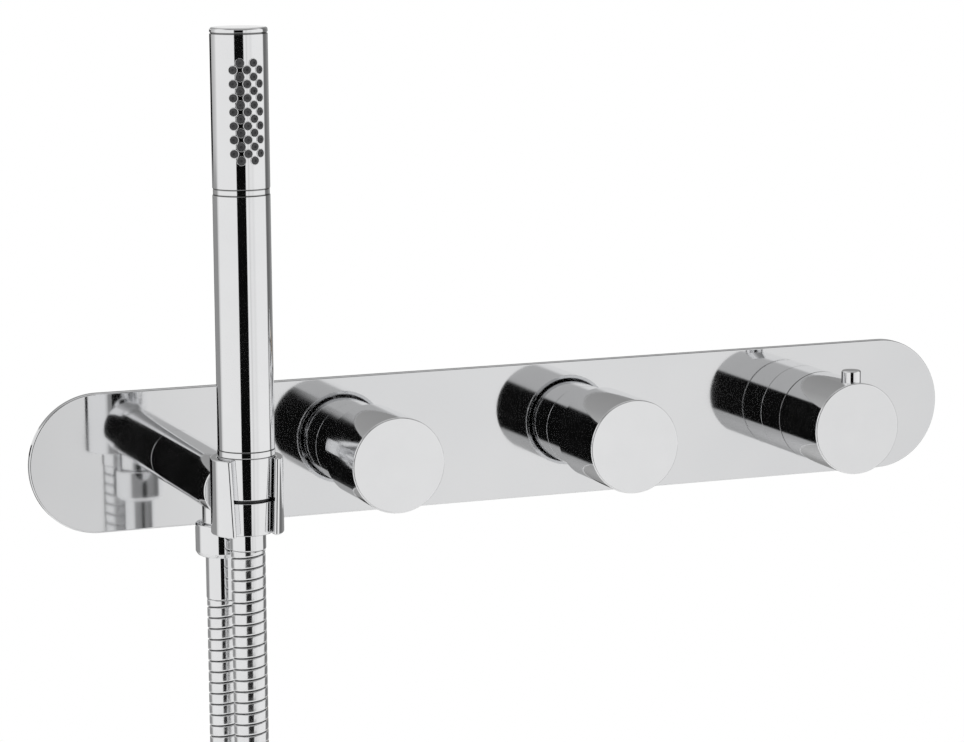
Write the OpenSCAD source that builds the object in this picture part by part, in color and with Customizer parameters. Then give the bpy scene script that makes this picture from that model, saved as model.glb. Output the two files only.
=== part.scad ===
// Concealed thermostatic shower valve with a wide wall plate, two flow knobs, a temperature knob,
// and a hand shower in a clip on the water outlet arm. Millimetres.
// The origin is the middle of the wall plate's back, where it meets the finished wall.
// +X runs along the plate to the temperature knob, +Y goes into the wall, and +Z is up.

/* [Wall plate] */
// Width of the wall plate
plate_w = 474; // [460:1:520]
// Height of the wall plate, whose ends are half circles
plate_h = 66; // [60:1:80]
// Thickness of the wall plate
plate_t = 3; // [2.5:0.5:5]

/* [Knobs] */
// Distance from one knob's axis to the next
knob_pitch = 119; // [110:1:120]
// Place of the temperature knob along the plate
temperature_x = 160; // [156:1:166]
// Outer diameter of the knobs
knob_d = 45; // [43:0.5:50]
// Distance of the flow knobs' flat faces from the plate
flow_knob_reach = 60.8; // [58:0.2:70]
// Distance of the temperature knob's flat face from the plate
temperature_knob_reach = 60; // [59:0.5:70]
// Diameter of the fixed collar behind a flow knob
flow_collar_d = 40; // [39:0.5:41]
// Length of a fixed collar that shows behind its knob
collar_len = 20.5; // [17:0.5:22]
// Diameter of the override button
button_d = 9.5; // [8:0.5:10]
// Height of the override button above the temperature knob
button_rise = 5.5; // [4:0.5:7]
// Travel of the override button
button_travel = 2.5; // [2:0.1:3]

/* [Arm and holder] */
// Place of the arm and the hand shower along the plate
arm_x = -166; // [-172:1:-160]
// Diameter of the arm
arm_d = 26; // [24:0.5:28]
// Distance of the hand shower's axis from the plate
handset_reach = 108; // [104:1:116]
// Distance from the arm's flat end to the hand shower's axis
holder_off = 22; // [20:0.5:24]
// Distance from the hose outlet's axis to the arm's flat end
outlet_inset = 16; // [15:0.5:20]
// Outer diameter of the holder clip
holder_d = 32; // [31:0.5:36]
// Height of the holder clip
holder_h = 32; // [28:1:36]
// Height of the clip's lower edge from the arm's axis
holder_low = -14.5; // [-16:0.5:-13]
// Width of the clip's front slot at its top
slot_top_w = 19.5; // [18:0.5:20]
// Width of the clip's front slot at its foot
slot_low_w = 17; // [16.5:0.5:18]

/* [Hand shower] */
// Diameter of the hand shower's barrel
handset_d = 25; // [24.8:0.2:26]
// Height of the hand shower's top from the arm's axis
handset_top = 206; // [190:1:240]
// Length of the head, from its joint ring to the hand shower's top
head_len = 69.1; // [64:0.1:76]
// Wall of the hand shower's tubes
tube_wall = 1.4; // [1.2:0.1:2]
// Diameter of a spray nozzle
nozzle_d = 3.4; // [3:0.1:3.6]
// Distance from one nozzle to the next along the head
nozzle_pitch = 6.1; // [5.5:0.1:6.4]

/* [Hose] */
// Outer diameter of the ribbed hose
hose_d = 15.2; // [14.6:0.2:15.4]
// Bore of the hose
hose_bore = 8; // [7:0.5:9]
// Length of one rib
rib_len = 5; // [4.5:0.5:6]
// Diameter across the middle of the hose's coil
coil_d = 184; // [170:2:200]
// Diameter of the hose nut under the arm
nut_d = 24.5; // [24:0.5:26]
// Height of the hose nut
nut_h = 14.8; // [13:0.2:17]

/* [Valve body] */
// Diameter of a flow cartridge's seat
flow_seat_d = 26; // [24:0.5:28]
// Diameter of the thermostatic cartridge's seat
mixer_seat_d = 30.4; // [30:0.2:31]
// Depth of the flow cartridges' seats behind the finished wall
flow_seat_depth = 40; // [38:1:43]
// Depth of the thermostatic cartridge's seat behind the finished wall
mixer_seat_depth = 48; // [47:1:49]
// Distance from the thermostatic cartridge's seat back to the mixed water gallery's axis
gallery_set_back = 12; // [12:0.5:13]
// Distance from the gallery's axis back to the pipe ports' mouths
port_set_back = 24; // [24:1:36]
// Diameter of the threaded pipe ports at the thread's crest
port_d = 18.63; // [18.63:0.01:19]
// Distance of each inlet from the temperature knob's axis
inlet_offset = 38; // [37:1:39]
// Distance from the gallery's axis back to the back of the fixing rail
rail_set_back = 20; // [20:0.5:22]
// Distance between the two fixing holes low on the rail
low_fix_pitch = 330; // [322:2:332]
// Distance between the two fixing holes high on the rail
high_fix_pitch = 71; // [68:1:74]
// Diameter of the fixing holes
fix_hole_d = 5.5; // [5:0.1:6]

/* [Hidden] */
$fn = 72;
over = 1;            // cuts run past their faces by this much
seat_gap = 0.1;      // between a fixed piece and the bore that seats it
run_gap = 0.05;      // between a shaft and the bore that it turns or slides in
part_gap = 0.3;      // between pieces on different bodies
film = 0.02;         // between the ceramic discs

// Knobs and collars, measured out from the finished wall
flow_x = [temperature_x - 2 * knob_pitch, temperature_x - knob_pitch];
plate_face = plate_t;
collar_end = plate_face + collar_len;
flow_face = plate_face + flow_knob_reach;
temperature_face = plate_face + temperature_knob_reach;
nose_wall = 2.7;
nose_reach = 16;
flow_nose_d = flow_collar_d - 2 * nose_wall - 2 * seat_gap;
collar_lap = 3.5;
knob_rim = 1.5;
knob_front = 3;
knob_chamfer = 0.5;
hub_d = 26;
hub_start = 31;
mixer_knob_front = 1.4;
mixer_nose_d = 39.6;
mixer_collar_wall = knob_d / 2 - mixer_nose_d / 2 - seat_gap;
mixer_knob_rim = 2.3;
seam = 0.6;
plate_hole_gap = 0.3;

// Depths of the gallery, the pipe ports and the rail behind the finished wall
gallery_depth = mixer_seat_depth + gallery_set_back;
port_depth = gallery_depth + port_set_back;
rail_depth = gallery_depth + rail_set_back;

// Spindles and their adaptors
spindle_d = 10;
spindle_waist_d = 7;
spindle_step = 1.5;
spline_d = 8;
spindle_end = 43;
spline_start = 33;
adaptor_d = 18;
adaptor_start = 24;
adaptor_end = 54;
adaptor_cap = 3;
screw_d = 4;
screw_h = 46;
screw_hole_d = 5;
screw_socket_d = 2;
gland_start = 6;
gland_len = 7;
gland_hex_h = 5;
gland_hole_d = 11;
gland_hex_share = 0.92;

// Flow cartridge, measured out from the finished wall, so depths are negative
flow_washer_t = 3;
disc_t = 3.5;
disc_d = 18.8;
disc_port_d = 6;
disc_port_r = 5;
flow_bottom = -flow_seat_depth + flow_washer_t;
disc_split = flow_bottom + disc_t;
disc_top = disc_split + disc_t;
carrier_t = 3;
housing_wall = 3.2;
housing_neck = -18;
seal_wire = 1.5;
seal_groove = 1.9;
seal_slack = 0.1;
neck_seal_h = -9;
side_seal_h = -4;
branch_depth = 26;
branch_bore = 12;
branch_d = 24;
window_d = 10;
outlet_offset = 34;
leg_d = 25;
leg_z = 4;
thread_len = 16;
washer_bore = 12;
seat_port_d = 10;

// Thermostatic cartridge, measured out from the finished wall
mixer_washer_t = 2;
mixer_bottom = -mixer_seat_depth + mixer_washer_t;
mixer_wall = 4;
mixer_room = 38;
mixer_neck = mixer_bottom + mixer_room;
cold_from_seat = 28;
hot_from_seat = 10;
cold_depth = mixer_seat_depth - cold_from_seat;
hot_depth = mixer_seat_depth - hot_from_seat;
inlet_arm_d = 22;
valve_bore = 15.2;
shuttle_wall = 2.4;
shuttle_gap = 0.1;
hot_lap = 2.5;
cold_lap = 3;
shuttle_from = -hot_depth + hot_lap;
shuttle_to = -cold_depth - cold_lap;
shuttle_web = 3;
shuttle_hole_d = 2.4;
shuttle_hole_r = 6.4;
wax_d = 9;
wax_flange_d = 11;
wax_flange_t = 1.2;
wax_stand = 4;
wax_len = 17;
wax_from = mixer_bottom + wax_stand;
wax_to = wax_from + wax_len;
piston_d = 3;
piston_len = 5;
drive_nut_d = 17;
drive_nut_len = 7;
drive_nut_floor = 0.8;
drive_nut_from = wax_to + piston_len;
drive_nut_to = drive_nut_from + drive_nut_len;
screw_end_d = 8;
screw_end_gap = 2;
screw_end_from = drive_nut_from + screw_end_gap;
mixer_lip = 2;
mixer_port_d = 12;
spring_d = 15.5;
spring_wire = 1.2;
spring_turns = 5;
spring_sides = 6;
spring_steps = 8;

// Stop ring and override button, with radii measured from the temperature knob's axis.
// Pressed in, the button's pawl passes inside the stop ring's tab.
stop_d = 38.4;
stop_bore = 29;
stop_t = 4;
stop_tab_lap = 4;
stop_tab_w = 5;
stop_tab_turn = 62;
button_from_face = 7;
button_h = temperature_face - button_from_face;
button_stop_gap = 1.1;
button_low_r = hub_d / 2 + button_travel + button_stop_gap;
button_wall = 1.6;
button_flange = 0.5;
button_flange_t = 1.2;
button_shoulder_r = sqrt(pow(knob_d / 2 - mixer_knob_rim, 2) - pow(button_d / 2 + button_flange, 2)) - part_gap;
pawl_w = 3;
pawl_r = 17;
pawl_t = 1.8;
pawl_end = 25.5;
pawl_gap = 0.5;
stop_tab_from_r = pawl_r + pawl_t - button_travel + pawl_gap;
button_spring_d = 5;

// Check valves in the inlet legs
check_gap = 5;
check_h = 17;
check_wall = 1.9;
check_seat_t = 2.5;
check_seat_d = 8;
poppet_d = 10;
poppet_t = 2.4;
poppet_stem_d = 2.6;
poppet_stem_h = 10;
poppet_travel = 3;
check_bridge_t = 2;
check_slot = 3;
strainer_h = 3;
strainer_t = 1;
strainer_hole_d = 2;
strainer_holes = 6;
strainer_ring_r = 4.5;
check_spring_d = 5;
check_spring_wire = 0.8;
check_spring_turns = 4;
check_bridge_h = check_seat_t + poppet_t + poppet_travel + (check_spring_turns + 1) * check_spring_wire;

// Gallery, lugs, rail and body screws
gallery_d = 22;
gallery_bore = 14;
gallery_drop = 18;
boss_past_gallery = 8;
boss_end = gallery_depth + boss_past_gallery;
lug_w = 18;
lug_t = 6;
rail_t = 2;
rail_low = -28;
rail_top = 18;
rail_from = -178;
rail_prong = 6;
rail_port_gap = 1.5;
low_fix_x = 15;
low_fix_z = -22;
high_fix_z = 12;
body_screw_d = 5;
body_screw_z = 9;
body_screw_head_d = 9;
body_screw_head_t = 3;
body_screw_tail = 1.5;
elbow_d = 30;
elbow_front = 5;

// Seal behind the plate
seal_w = 4;
seal_t = 1.6;
seal_inset = 3;

// Arm, nipple and holder
stem_d = 20.8;
stem_depth = 24;
arm_bore = 12;
arm_chamfer = 0.6;
nipple_d = 18;
nipple_thread_d = 20.8;
nipple_bore = 10;
nipple_lap = 5;
nut_drop = 4.2;
nut_top = -arm_d / 2 - nut_drop;
nut_low = nut_top - nut_h;
nut_thread_inset = 1;
nut_chamfer = 2;
nut_lip = 2;
ferrule_flange_t = 1.4;
hose_washer_t = 2;
ferrule_top = nut_low + nut_lip + ferrule_flange_t;
hose_washer_top = ferrule_top + hose_washer_t;
neck_d = 15;
holder_screw_d = 5;
holder_screw_head_d = 9;
holder_screw_head_t = 1.4;
holder_screw_wall = 2;
clip_gap = 0.3;
holder_top = holder_low + holder_h;
handset_h = plate_face + handset_reach;
arm_end = handset_h - holder_off;
outlet_h = arm_end - outlet_inset;

// Hand shower, measured up from the arm's axis
cone_top_d = 24.6;
cone_taper = 0.075;
swivel_t = 1.4;
swivel_inset = 1.2;
ring_h = 2.6;
ring_proud = 0.15;
band_h = 2.7;
band_inset = 0.25;
band_z = handset_top - head_len - band_h;
cap_h = 2.6;
cap_lap = 6;
cap_gap = 0.35;
end_radius = 1;
sleeve_d = 16;
sleeve_h = 7.5;
ferrule_d = 15.6;
ferrule_h = 20;
water_tube_d = 12;
water_bore = 8.5;
plug_h = 8;
insert_t = 1.6;
insert_gap = 0.15;
nozzle_proud = 0.5;
nozzle_hole_gap = 0.2;
nozzle_turn = 13.6;
nozzle_rows = 7;
nozzle_drop = 37;
nozzle_mid_z = handset_top - nozzle_drop;
swivel_core_d = 13;
swivel_core_h = 6;
grip_lap = 6;

// Hose route, in the plane through both hose ends
strand_low = -128;
strand_sides = 8;
coil_turn_points = 24;
coil_sides = 6;
coil_lead_r = 72;
coil_lead_turn = 45;
coil_extra_turns = 1;
rib_depth = 0.7;
tie_w = 12;
tie_t = 1.6;
tie_gap = 0.3;

// Sweeps a round tube of one radius along points; ref is never along the path
function unit(v) = v / norm(v);
function heading(p, i) = unit(p[min(i + 1, len(p) - 1)] - p[max(i - 1, 0)]);
function side_of(t, ref) = unit(ref - (ref * t) * t);
function ring_at(p, i, r, sides, ref) =
    let (t = heading(p, i), n = side_of(t, ref), b = cross(t, n))
    [for (k = [0 : sides - 1]) p[i] + r * (cos(360 * k / sides) * n + sin(360 * k / sides) * b)];
function flat_list(lists) = [for (l = lists) for (v = l) v];
function total(v, i = 0) = i < len(v) ? v[i] + total(v, i + 1) : 0;
function path_length(p) = total([for (i = [1 : len(p) - 1]) norm(p[i] - p[i - 1])]);

module swept(p, r, sides, ref) {
    n = len(p);
    points = flat_list([for (i = [0 : n - 1]) ring_at(p, i, r, sides, ref)]);
    sides_faces = flat_list([for (i = [0 : n - 2]) flat_list([for (k = [0 : sides - 1])
        let (a = i * sides + k, b = i * sides + (k + 1) % sides)
        [[a, a + sides, b], [b, a + sides, b + sides]]])]);
    first = [for (k = [1 : sides - 2]) [0, k, k + 1]];
    base = (n - 1) * sides;
    last = [for (k = [1 : sides - 2]) [base, base + k + 1, base + k]];
    polyhedron(points = points, faces = concat(sides_faces, first, last));
}

// Points of a helix about local Z
function helix(r, from, to, turns, steps) =
    [for (i = [0 : turns * steps]) let (s = i / (turns * steps))
        [r * cos(360 * turns * s), r * sin(360 * turns * s), from + (to - from) * s]];

module coil_spring(d, wire, from, to, turns) {
    swept(helix(d / 2, from + wire / 2, to - wire / 2, turns, spring_steps), wire / 2, spring_sides, [0, 0, 1]);
}

// Local Z becomes the distance out from the finished wall
module out_from(x) {
    translate([x, 0, 0]) rotate([90, 0, 0]) children();
}

module rod(d, from, to) {
    translate([0, 0, from]) cylinder(d = d, h = to - from);
}

module tube(d, bore, from, to) {
    difference() {
        rod(d, from, to);
        rod(bore, from - over, to + over);
    }
}

module o_ring(d) {
    rotate_extrude() translate([d / 2, 0]) circle(d = seal_wire, $fn = 24);
}

module stadium(w, h) {
    square([w - h, h], center = true);
    for (s = [-1, 1]) translate([s * (w - h) / 2, 0]) circle(d = h);
}

// The wall plate and its seal

module wall_plate() {
    color("gainsboro") rotate([90, 0, 0]) difference() {
        linear_extrude(plate_t) stadium(plate_w, plate_h);
        translate([0, 0, -over]) linear_extrude(over + seal_t) difference() {
            stadium(plate_w - 2 * seal_inset, plate_h - 2 * seal_inset);
            stadium(plate_w - 2 * seal_inset - 2 * seal_w, plate_h - 2 * seal_inset - 2 * seal_w);
        }
        for (x = flow_x) translate([x, 0, 0]) rod(flow_nose_d + 2 * plate_hole_gap, -over, plate_t + over);
        translate([temperature_x, 0, 0]) rod(mixer_nose_d + 2 * plate_hole_gap, -over, plate_t + over);
        translate([arm_x, 0, 0]) rod(stem_d + 2 * plate_hole_gap, -over, plate_t + over);
    }
}

module plate_seal() {
    outer = 2 * (seal_inset + seat_gap);
    inner = 2 * (seal_inset + seal_w - seat_gap);
    color("dimgray") rotate([90, 0, 0]) linear_extrude(seal_t) difference() {
        stadium(plate_w - outer, plate_h - outer);
        stadium(plate_w - inner, plate_h - inner);
    }
}

// The brass body behind the wall

flow_boss_d = flow_nose_d;

// Each leg ends in a pipe port: its place along the plate, and the depth where its bore turns
hot_leg = [temperature_x - inlet_offset, hot_depth];
cold_leg = [temperature_x + inlet_offset, cold_depth];
overhead_leg = [flow_x[1] + outlet_offset, branch_depth];
legs = [hot_leg, cold_leg, overhead_leg];
lug_x = [flow_x[0] + knob_pitch / 3, flow_x[0] + 2 * knob_pitch / 3, (overhead_leg[0] + hot_leg[0]) / 2];

module along_x(d, from, to, depth, z) {
    translate([from, depth, z]) rotate([0, 90, 0]) cylinder(d = d, h = to - from);
}

module down_to_gallery(d, x) {
    translate([x, gallery_depth, -gallery_drop]) cylinder(d = d, h = gallery_drop);
}

module body_outside() {
    along_x(gallery_d, flow_x[0] - gallery_d / 2, temperature_x + gallery_d / 2, gallery_depth, -gallery_drop);
    for (x = flow_x) out_from(x) rod(flow_boss_d, -boss_end, nose_reach);
    out_from(temperature_x) rod(mixer_nose_d, -boss_end, nose_reach);
    along_x(branch_d, arm_x, flow_x[0], branch_depth, 0);
    out_from(arm_x) rod(elbow_d, -branch_depth - elbow_d / 2, -elbow_front);
    along_x(inlet_arm_d, temperature_x, cold_leg[0], cold_depth, leg_z);
    along_x(inlet_arm_d, hot_leg[0], temperature_x, hot_depth, leg_z);
    along_x(inlet_arm_d, flow_x[1], overhead_leg[0], branch_depth, leg_z);
    for (leg = legs) translate([0, 0, leg_z]) out_from(leg[0]) rod(leg_d, -port_depth, -leg[1] + inlet_arm_d / 2);
    for (x = lug_x) {
        translate([x - lug_w / 2, rail_depth - rail_t - lug_t, rail_low]) cube([lug_w, lug_t, rail_top - rail_low]);
        translate([0, 0, -gallery_drop]) out_from(x) rod(lug_w, -rail_depth + rail_t, -gallery_depth);
    }
}

module body_bores() {
    along_x(gallery_bore, flow_x[0], temperature_x, gallery_depth, -gallery_drop);
    for (x = flow_x) {
        out_from(x) rod(flow_seat_d, -flow_seat_depth, nose_reach + over);
        out_from(x) rod(seat_port_d, -gallery_depth, -flow_seat_depth + over);
        down_to_gallery(seat_port_d, x);
    }
    out_from(temperature_x) rod(mixer_seat_d, -mixer_seat_depth, nose_reach + over);
    out_from(temperature_x) rod(mixer_port_d, -gallery_depth, -mixer_seat_depth + over);
    down_to_gallery(seat_port_d, temperature_x);
    along_x(branch_bore, arm_x, flow_x[0], branch_depth, 0);
    out_from(arm_x) rod(stem_d + 2 * seat_gap, -branch_depth - branch_bore / 2, over);
    along_x(branch_bore, temperature_x, cold_leg[0], cold_depth, leg_z);
    along_x(branch_bore, hot_leg[0], temperature_x, hot_depth, leg_z);
    along_x(branch_bore, flow_x[1], overhead_leg[0], branch_depth, leg_z);
    for (leg = legs) translate([0, 0, leg_z]) out_from(leg[0]) {
        rod(valve_bore, -port_depth, -leg[1]);
        rod(port_d, -port_depth - over, -port_depth + thread_len);
    }
    for (x = lug_x) translate([0, 0, body_screw_z])
        out_from(x) rod(body_screw_d + 2 * part_gap, -rail_depth, -gallery_depth - gallery_d / 2);
}

module valve_body() {
    color("darkgoldenrod") difference() {
        body_outside();
        body_bores();
    }
}

// Calls its child at each fixing hole, with local Z out of the wall
module at_fixings() {
    for (side = [-1, 1]) {
        translate([0, 0, low_fix_z]) out_from(low_fix_x + side * low_fix_pitch / 2) children();
        translate([0, 0, high_fix_z]) out_from((flow_x[0] + flow_x[1] + side * high_fix_pitch) / 2) children();
    }
}

module fixing_rail() {
    notch_r = leg_d / 2 + rail_port_gap;
    rail_to = cold_leg[0] + notch_r + rail_prong;
    back = -rail_depth - over;
    front = -rail_depth + rail_t + over;
    color("silver") difference() {
        translate([rail_from, rail_depth - rail_t, rail_low]) cube([rail_to - rail_from, rail_t, rail_top - rail_low]);
        at_fixings() rod(fix_hole_d, back, front);
        for (x = lug_x) translate([0, 0, body_screw_z]) out_from(x) rod(body_screw_d + 2 * seat_gap, back, front);
        for (leg = legs) {
            translate([0, 0, leg_z]) out_from(leg[0]) rod(2 * notch_r, back, front);
            translate([leg[0] - notch_r, -front, leg_z]) cube([2 * notch_r, front - back, rail_top - leg_z + over]);
        }
    }
}

module body_screws() {
    front = -rail_depth + rail_t + lug_t;
    color("silver") for (x = lug_x) translate([0, 0, body_screw_z]) out_from(x) difference() {
        union() {
            rod(body_screw_d, -rail_depth - body_screw_tail, front);
            rod(body_screw_head_d, front, front + body_screw_head_t);
        }
        translate([0, 0, front + body_screw_head_t / 2])
            cylinder(d = body_screw_head_d / 2, h = body_screw_head_t, $fn = 6);
    }
}

// Check valves and strainers in the two inlets

// Local Z runs with the water, out of the wall, from the check valve's upstream end
module at_check(i) {
    translate([0, 0, leg_z]) out_from(legs[i][0])
        translate([0, 0, -port_depth + thread_len + check_gap]) children();
}

module check_valve_housings() {
    outer = valve_bore - 2 * seat_gap;
    bore = outer - 2 * check_wall;
    color("whitesmoke") for (i = [0, 1]) at_check(i) difference() {
        rod(outer, 0, check_h);
        difference() {
            rod(bore, check_seat_t, check_h + over);
            translate([-check_slot / 2, -outer / 2, check_bridge_h]) cube([check_slot, outer, check_bridge_t]);
        }
        rod(check_seat_d, -over, check_seat_t + over);
        rod(poppet_stem_d + 2 * run_gap, check_bridge_h - over, check_h + over);
    }
}

module check_poppet(i) {
    low = check_seat_t + film;
    color("dimgray") at_check(i) {
        rod(poppet_d, low, low + poppet_t);
        rod(poppet_stem_d, low + poppet_t, low + poppet_t + poppet_stem_h);
    }
}

module hot_check_poppet() { check_poppet(0); }
module cold_check_poppet() { check_poppet(1); }

module check_spring(i) {
    low = check_seat_t + film + poppet_t;
    color("silver") at_check(i)
        coil_spring(check_spring_d, check_spring_wire, low, check_bridge_h, check_spring_turns);
}

module hot_check_spring() { check_spring(0); }
module cold_check_spring() { check_spring(1); }

module inlet_strainers() {
    color("silver") for (i = [0, 1]) at_check(i) difference() {
        rod(valve_bore - 2 * seat_gap, -strainer_h, 0);
        rod(valve_bore - 2 * seat_gap - 2 * strainer_t, -strainer_h - over, -strainer_t);
        for (k = [0 : strainer_holes - 1]) rotate(360 * k / strainer_holes)
            translate([strainer_ring_r, 0, 0]) rod(strainer_hole_d, -strainer_h - over, over);
        rod(strainer_hole_d, -strainer_h - over, over);
    }
}

// Flow cartridges

module flow_housings() {
    outer = flow_seat_d - 2 * seat_gap;
    color("tan") for (x = flow_x) out_from(x) difference() {
        rod(outer, flow_bottom, gland_start);
        rod(outer - 2 * housing_wall, flow_bottom - over, housing_neck);
        rod(spindle_d + 2 * run_gap, housing_neck - over, gland_start + over);
        for (a = [0, 90]) translate([0, 0, -branch_depth]) rotate([a, 90, 0])
            translate([0, 0, -outer / 2 - over]) cylinder(d = window_d, h = outer + 2 * over);
        translate([0, 0, neck_seal_h - seal_groove / 2])
            cylinder(d = spindle_d + 2 * seal_wire + 4 * seal_slack, h = seal_groove);
        translate([0, 0, side_seal_h - seal_groove / 2])
            tube(outer + over, outer - 2 * seal_wire - 2 * seal_slack, 0, seal_groove);
    }
}

module fixed_discs() {
    color("white") for (x = flow_x) out_from(x) difference() {
        rod(disc_d, flow_bottom, disc_split);
        translate([disc_port_r, 0, 0]) rod(disc_port_d, flow_bottom - over, disc_split + over);
    }
}

module moving_disc(x) {
    color("ghostwhite") out_from(x) difference() {
        rod(disc_d - 2 * seat_gap, disc_split + film, disc_top);
        translate([0, disc_port_r, 0]) rod(disc_port_d, disc_split - over, disc_top + over);
    }
}

module flow_spindle(x) {
    color("goldenrod") out_from(x) {
        difference() {
            rod(disc_d - 2 * seat_gap, disc_top, disc_top + carrier_t);
            translate([0, disc_port_r, 0]) rod(disc_port_d, disc_top - over, disc_top + carrier_t + over);
        }
        rod(spindle_waist_d, disc_top + carrier_t, housing_neck - spindle_step);
        rod(spindle_d, housing_neck - spindle_step, spline_start);
        rod(spline_d, spline_start, spindle_end);
    }
}

module overhead_moving_disc() { moving_disc(flow_x[1]); }
module handset_moving_disc() { moving_disc(flow_x[0]); }
module overhead_spindle() { flow_spindle(flow_x[1]); }
module handset_spindle() { flow_spindle(flow_x[0]); }

module cartridge_seals() {
    flow_outer = flow_seat_d - 2 * seat_gap;
    mixer_outer = mixer_seat_d - 2 * seat_gap;
    color("dimgray") {
        for (x = flow_x) out_from(x) {
            tube(flow_outer - 2 * seat_gap, washer_bore, -flow_seat_depth, flow_bottom);
            translate([0, 0, neck_seal_h]) o_ring(spindle_d + seal_wire + 2 * seal_slack);
            translate([0, 0, side_seal_h]) o_ring(flow_outer - seal_wire);
        }
        out_from(temperature_x) {
            tube(mixer_outer - 2 * seat_gap, mixer_port_d, -mixer_seat_depth, mixer_bottom);
            for (h = mixer_seal_places) translate([0, 0, h]) o_ring(mixer_outer - seal_wire);
        }
    }
}

module gland_nut(d) {
    difference() {
        union() {
            rod(d, gland_start, gland_start + gland_len);
            translate([0, 0, gland_start + gland_len]) cylinder(d = d * gland_hex_share, h = gland_hex_h, $fn = 6);
        }
        rod(gland_hole_d, gland_start - over, gland_start + gland_len + gland_hex_h + over);
    }
}

module gland_nuts() {
    color("gold") {
        for (x = flow_x) out_from(x) gland_nut(flow_seat_d - 2 * seat_gap);
        out_from(temperature_x) gland_nut(mixer_seat_d - 2 * seat_gap);
    }
}

// Knobs, with the adaptors and screws that hold them to their spindles

module flow_collars() {
    color("gainsboro") for (x = flow_x) out_from(x)
        tube(flow_collar_d, flow_nose_d + 2 * seat_gap, plate_face, collar_end + collar_lap);
}

module adaptor(x) {
    color("whitesmoke") out_from(x) difference() {
        rod(adaptor_d, adaptor_start, adaptor_end);
        rod(spindle_d + 2 * seat_gap, adaptor_start - over, spline_start + seat_gap);
        rod(spline_d + 2 * seat_gap, spline_start - over, adaptor_end - adaptor_cap);
    }
}

module knob_screw(x) {
    inner = adaptor_d / 2 + seat_gap;
    color("silver") out_from(x) translate([0, 0, screw_h]) rotate([90, 0, 0]) difference() {
        rod(screw_d, inner, hub_d / 2);
        translate([0, 0, (inner + hub_d / 2) / 2]) cylinder(d = screw_socket_d, h = hub_d / 2, $fn = 6);
    }
}

module knob_shell(x, back, face, rim, front) {
    r = knob_d / 2;
    hub_bore = adaptor_d / 2 + seat_gap;
    color("gainsboro") out_from(x) difference() {
        rotate_extrude() polygon([
            [0, face], [r - knob_chamfer, face], [r, face - knob_chamfer], [r, back + knob_chamfer],
            [r - knob_chamfer, back], [r - rim, back], [r - rim, face - front], [hub_d / 2, face - front],
            [hub_d / 2, hub_start], [hub_bore, hub_start], [hub_bore, adaptor_end + seat_gap],
            [0, adaptor_end + seat_gap]]);
        translate([0, 0, screw_h]) rotate([90, 0, 0]) {
            rod(screw_d + 2 * seat_gap, adaptor_d / 4, hub_d / 2 + over);
            rod(screw_hole_d, hub_d / 2, r + over);
        }
    }
}

module overhead_adaptor() { adaptor(flow_x[1]); }
module handset_adaptor() { adaptor(flow_x[0]); }
module temperature_adaptor() { adaptor(temperature_x); }
module overhead_knob_screw() { knob_screw(flow_x[1]); }
module handset_knob_screw() { knob_screw(flow_x[0]); }
module temperature_knob_screw() { knob_screw(temperature_x); }
module overhead_knob() { knob_shell(flow_x[1], collar_end, flow_face, knob_rim, knob_front); }
module handset_knob() { knob_shell(flow_x[0], collar_end, flow_face, knob_rim, knob_front); }

module temperature_collar() {
    color("gainsboro") out_from(temperature_x)
        tube(knob_d, knob_d - 2 * mixer_collar_wall, plate_face, collar_end);
}

module temperature_knob() {
    color("gainsboro") difference() {
        knob_shell(temperature_x, collar_end + seam, temperature_face, mixer_knob_rim, mixer_knob_front);
        out_from(temperature_x) translate([0, 0, button_h]) rotate([-90, 0, 0])
            rod(button_d + 2 * run_gap, button_low_r, knob_d / 2 + over);
    }
}

// The override button slides in the knob; its pawl rides behind the stop ring's tab

module override_button() {
    color("gainsboro") out_from(temperature_x) {
        translate([0, 0, button_h]) rotate([-90, 0, 0]) difference() {
            union() {
                rod(button_d, button_low_r, knob_d / 2 + button_rise);
                rod(button_d + 2 * button_flange, button_shoulder_r - button_flange_t, button_shoulder_r);
            }
            rod(button_d - 2 * button_wall, button_low_r - over, button_shoulder_r);
        }
        translate([-pawl_w / 2, pawl_r, pawl_end])
            cube([pawl_w, pawl_t, button_h - button_d / 2 + button_wall / 2 - pawl_end]);
    }
}

module override_spring() {
    color("silver") out_from(temperature_x) translate([0, 0, button_h]) rotate([-90, 0, 0])
        coil_spring(button_spring_d, check_spring_wire, hub_d / 2 + film, button_shoulder_r - film,
            check_spring_turns);
}

module stop_ring() {
    base = nose_reach;
    color("whitesmoke") out_from(temperature_x) {
        tube(stop_d, stop_bore, base, base + stop_t);
        rotate(stop_tab_turn) intersection() {
            tube(stop_d, 2 * stop_tab_from_r, base, collar_end + stop_tab_lap);
            translate([-stop_tab_w / 2, 0, base]) cube([stop_tab_w, stop_d, collar_end + stop_tab_lap - base]);
        }
    }
}

// Thermostatic cartridge

mixer_seal_places = [-mixer_seat_depth + (mixer_seat_depth - hot_depth) / 2 - seal_wire,
    -(hot_depth + cold_depth) / 2, -cold_depth / 2 + seal_wire];
mixer_id = mixer_seat_d - 2 * seat_gap - 2 * mixer_wall;

module thermostat_housing() {
    outer = mixer_seat_d - 2 * seat_gap;
    color("tan") out_from(temperature_x) difference() {
        rod(outer, mixer_bottom, gland_start);
        rod(mixer_port_d, mixer_bottom - over, mixer_bottom + mixer_lip + over);
        rod(mixer_id, mixer_bottom + mixer_lip, mixer_neck);
        rod(spindle_d + 2 * run_gap, mixer_neck - over, gland_start + over);
        for (h = [-cold_depth, -hot_depth], a = [0, 90]) translate([0, 0, h]) rotate([a, 90, 0])
            translate([0, 0, -outer / 2 - over]) cylinder(d = window_d, h = outer + 2 * over);
        for (h = mixer_seal_places) translate([0, 0, h - seal_groove / 2])
            tube(outer + over, outer - 2 * seal_wire - 2 * seal_slack, 0, seal_groove);
    }
}

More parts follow.
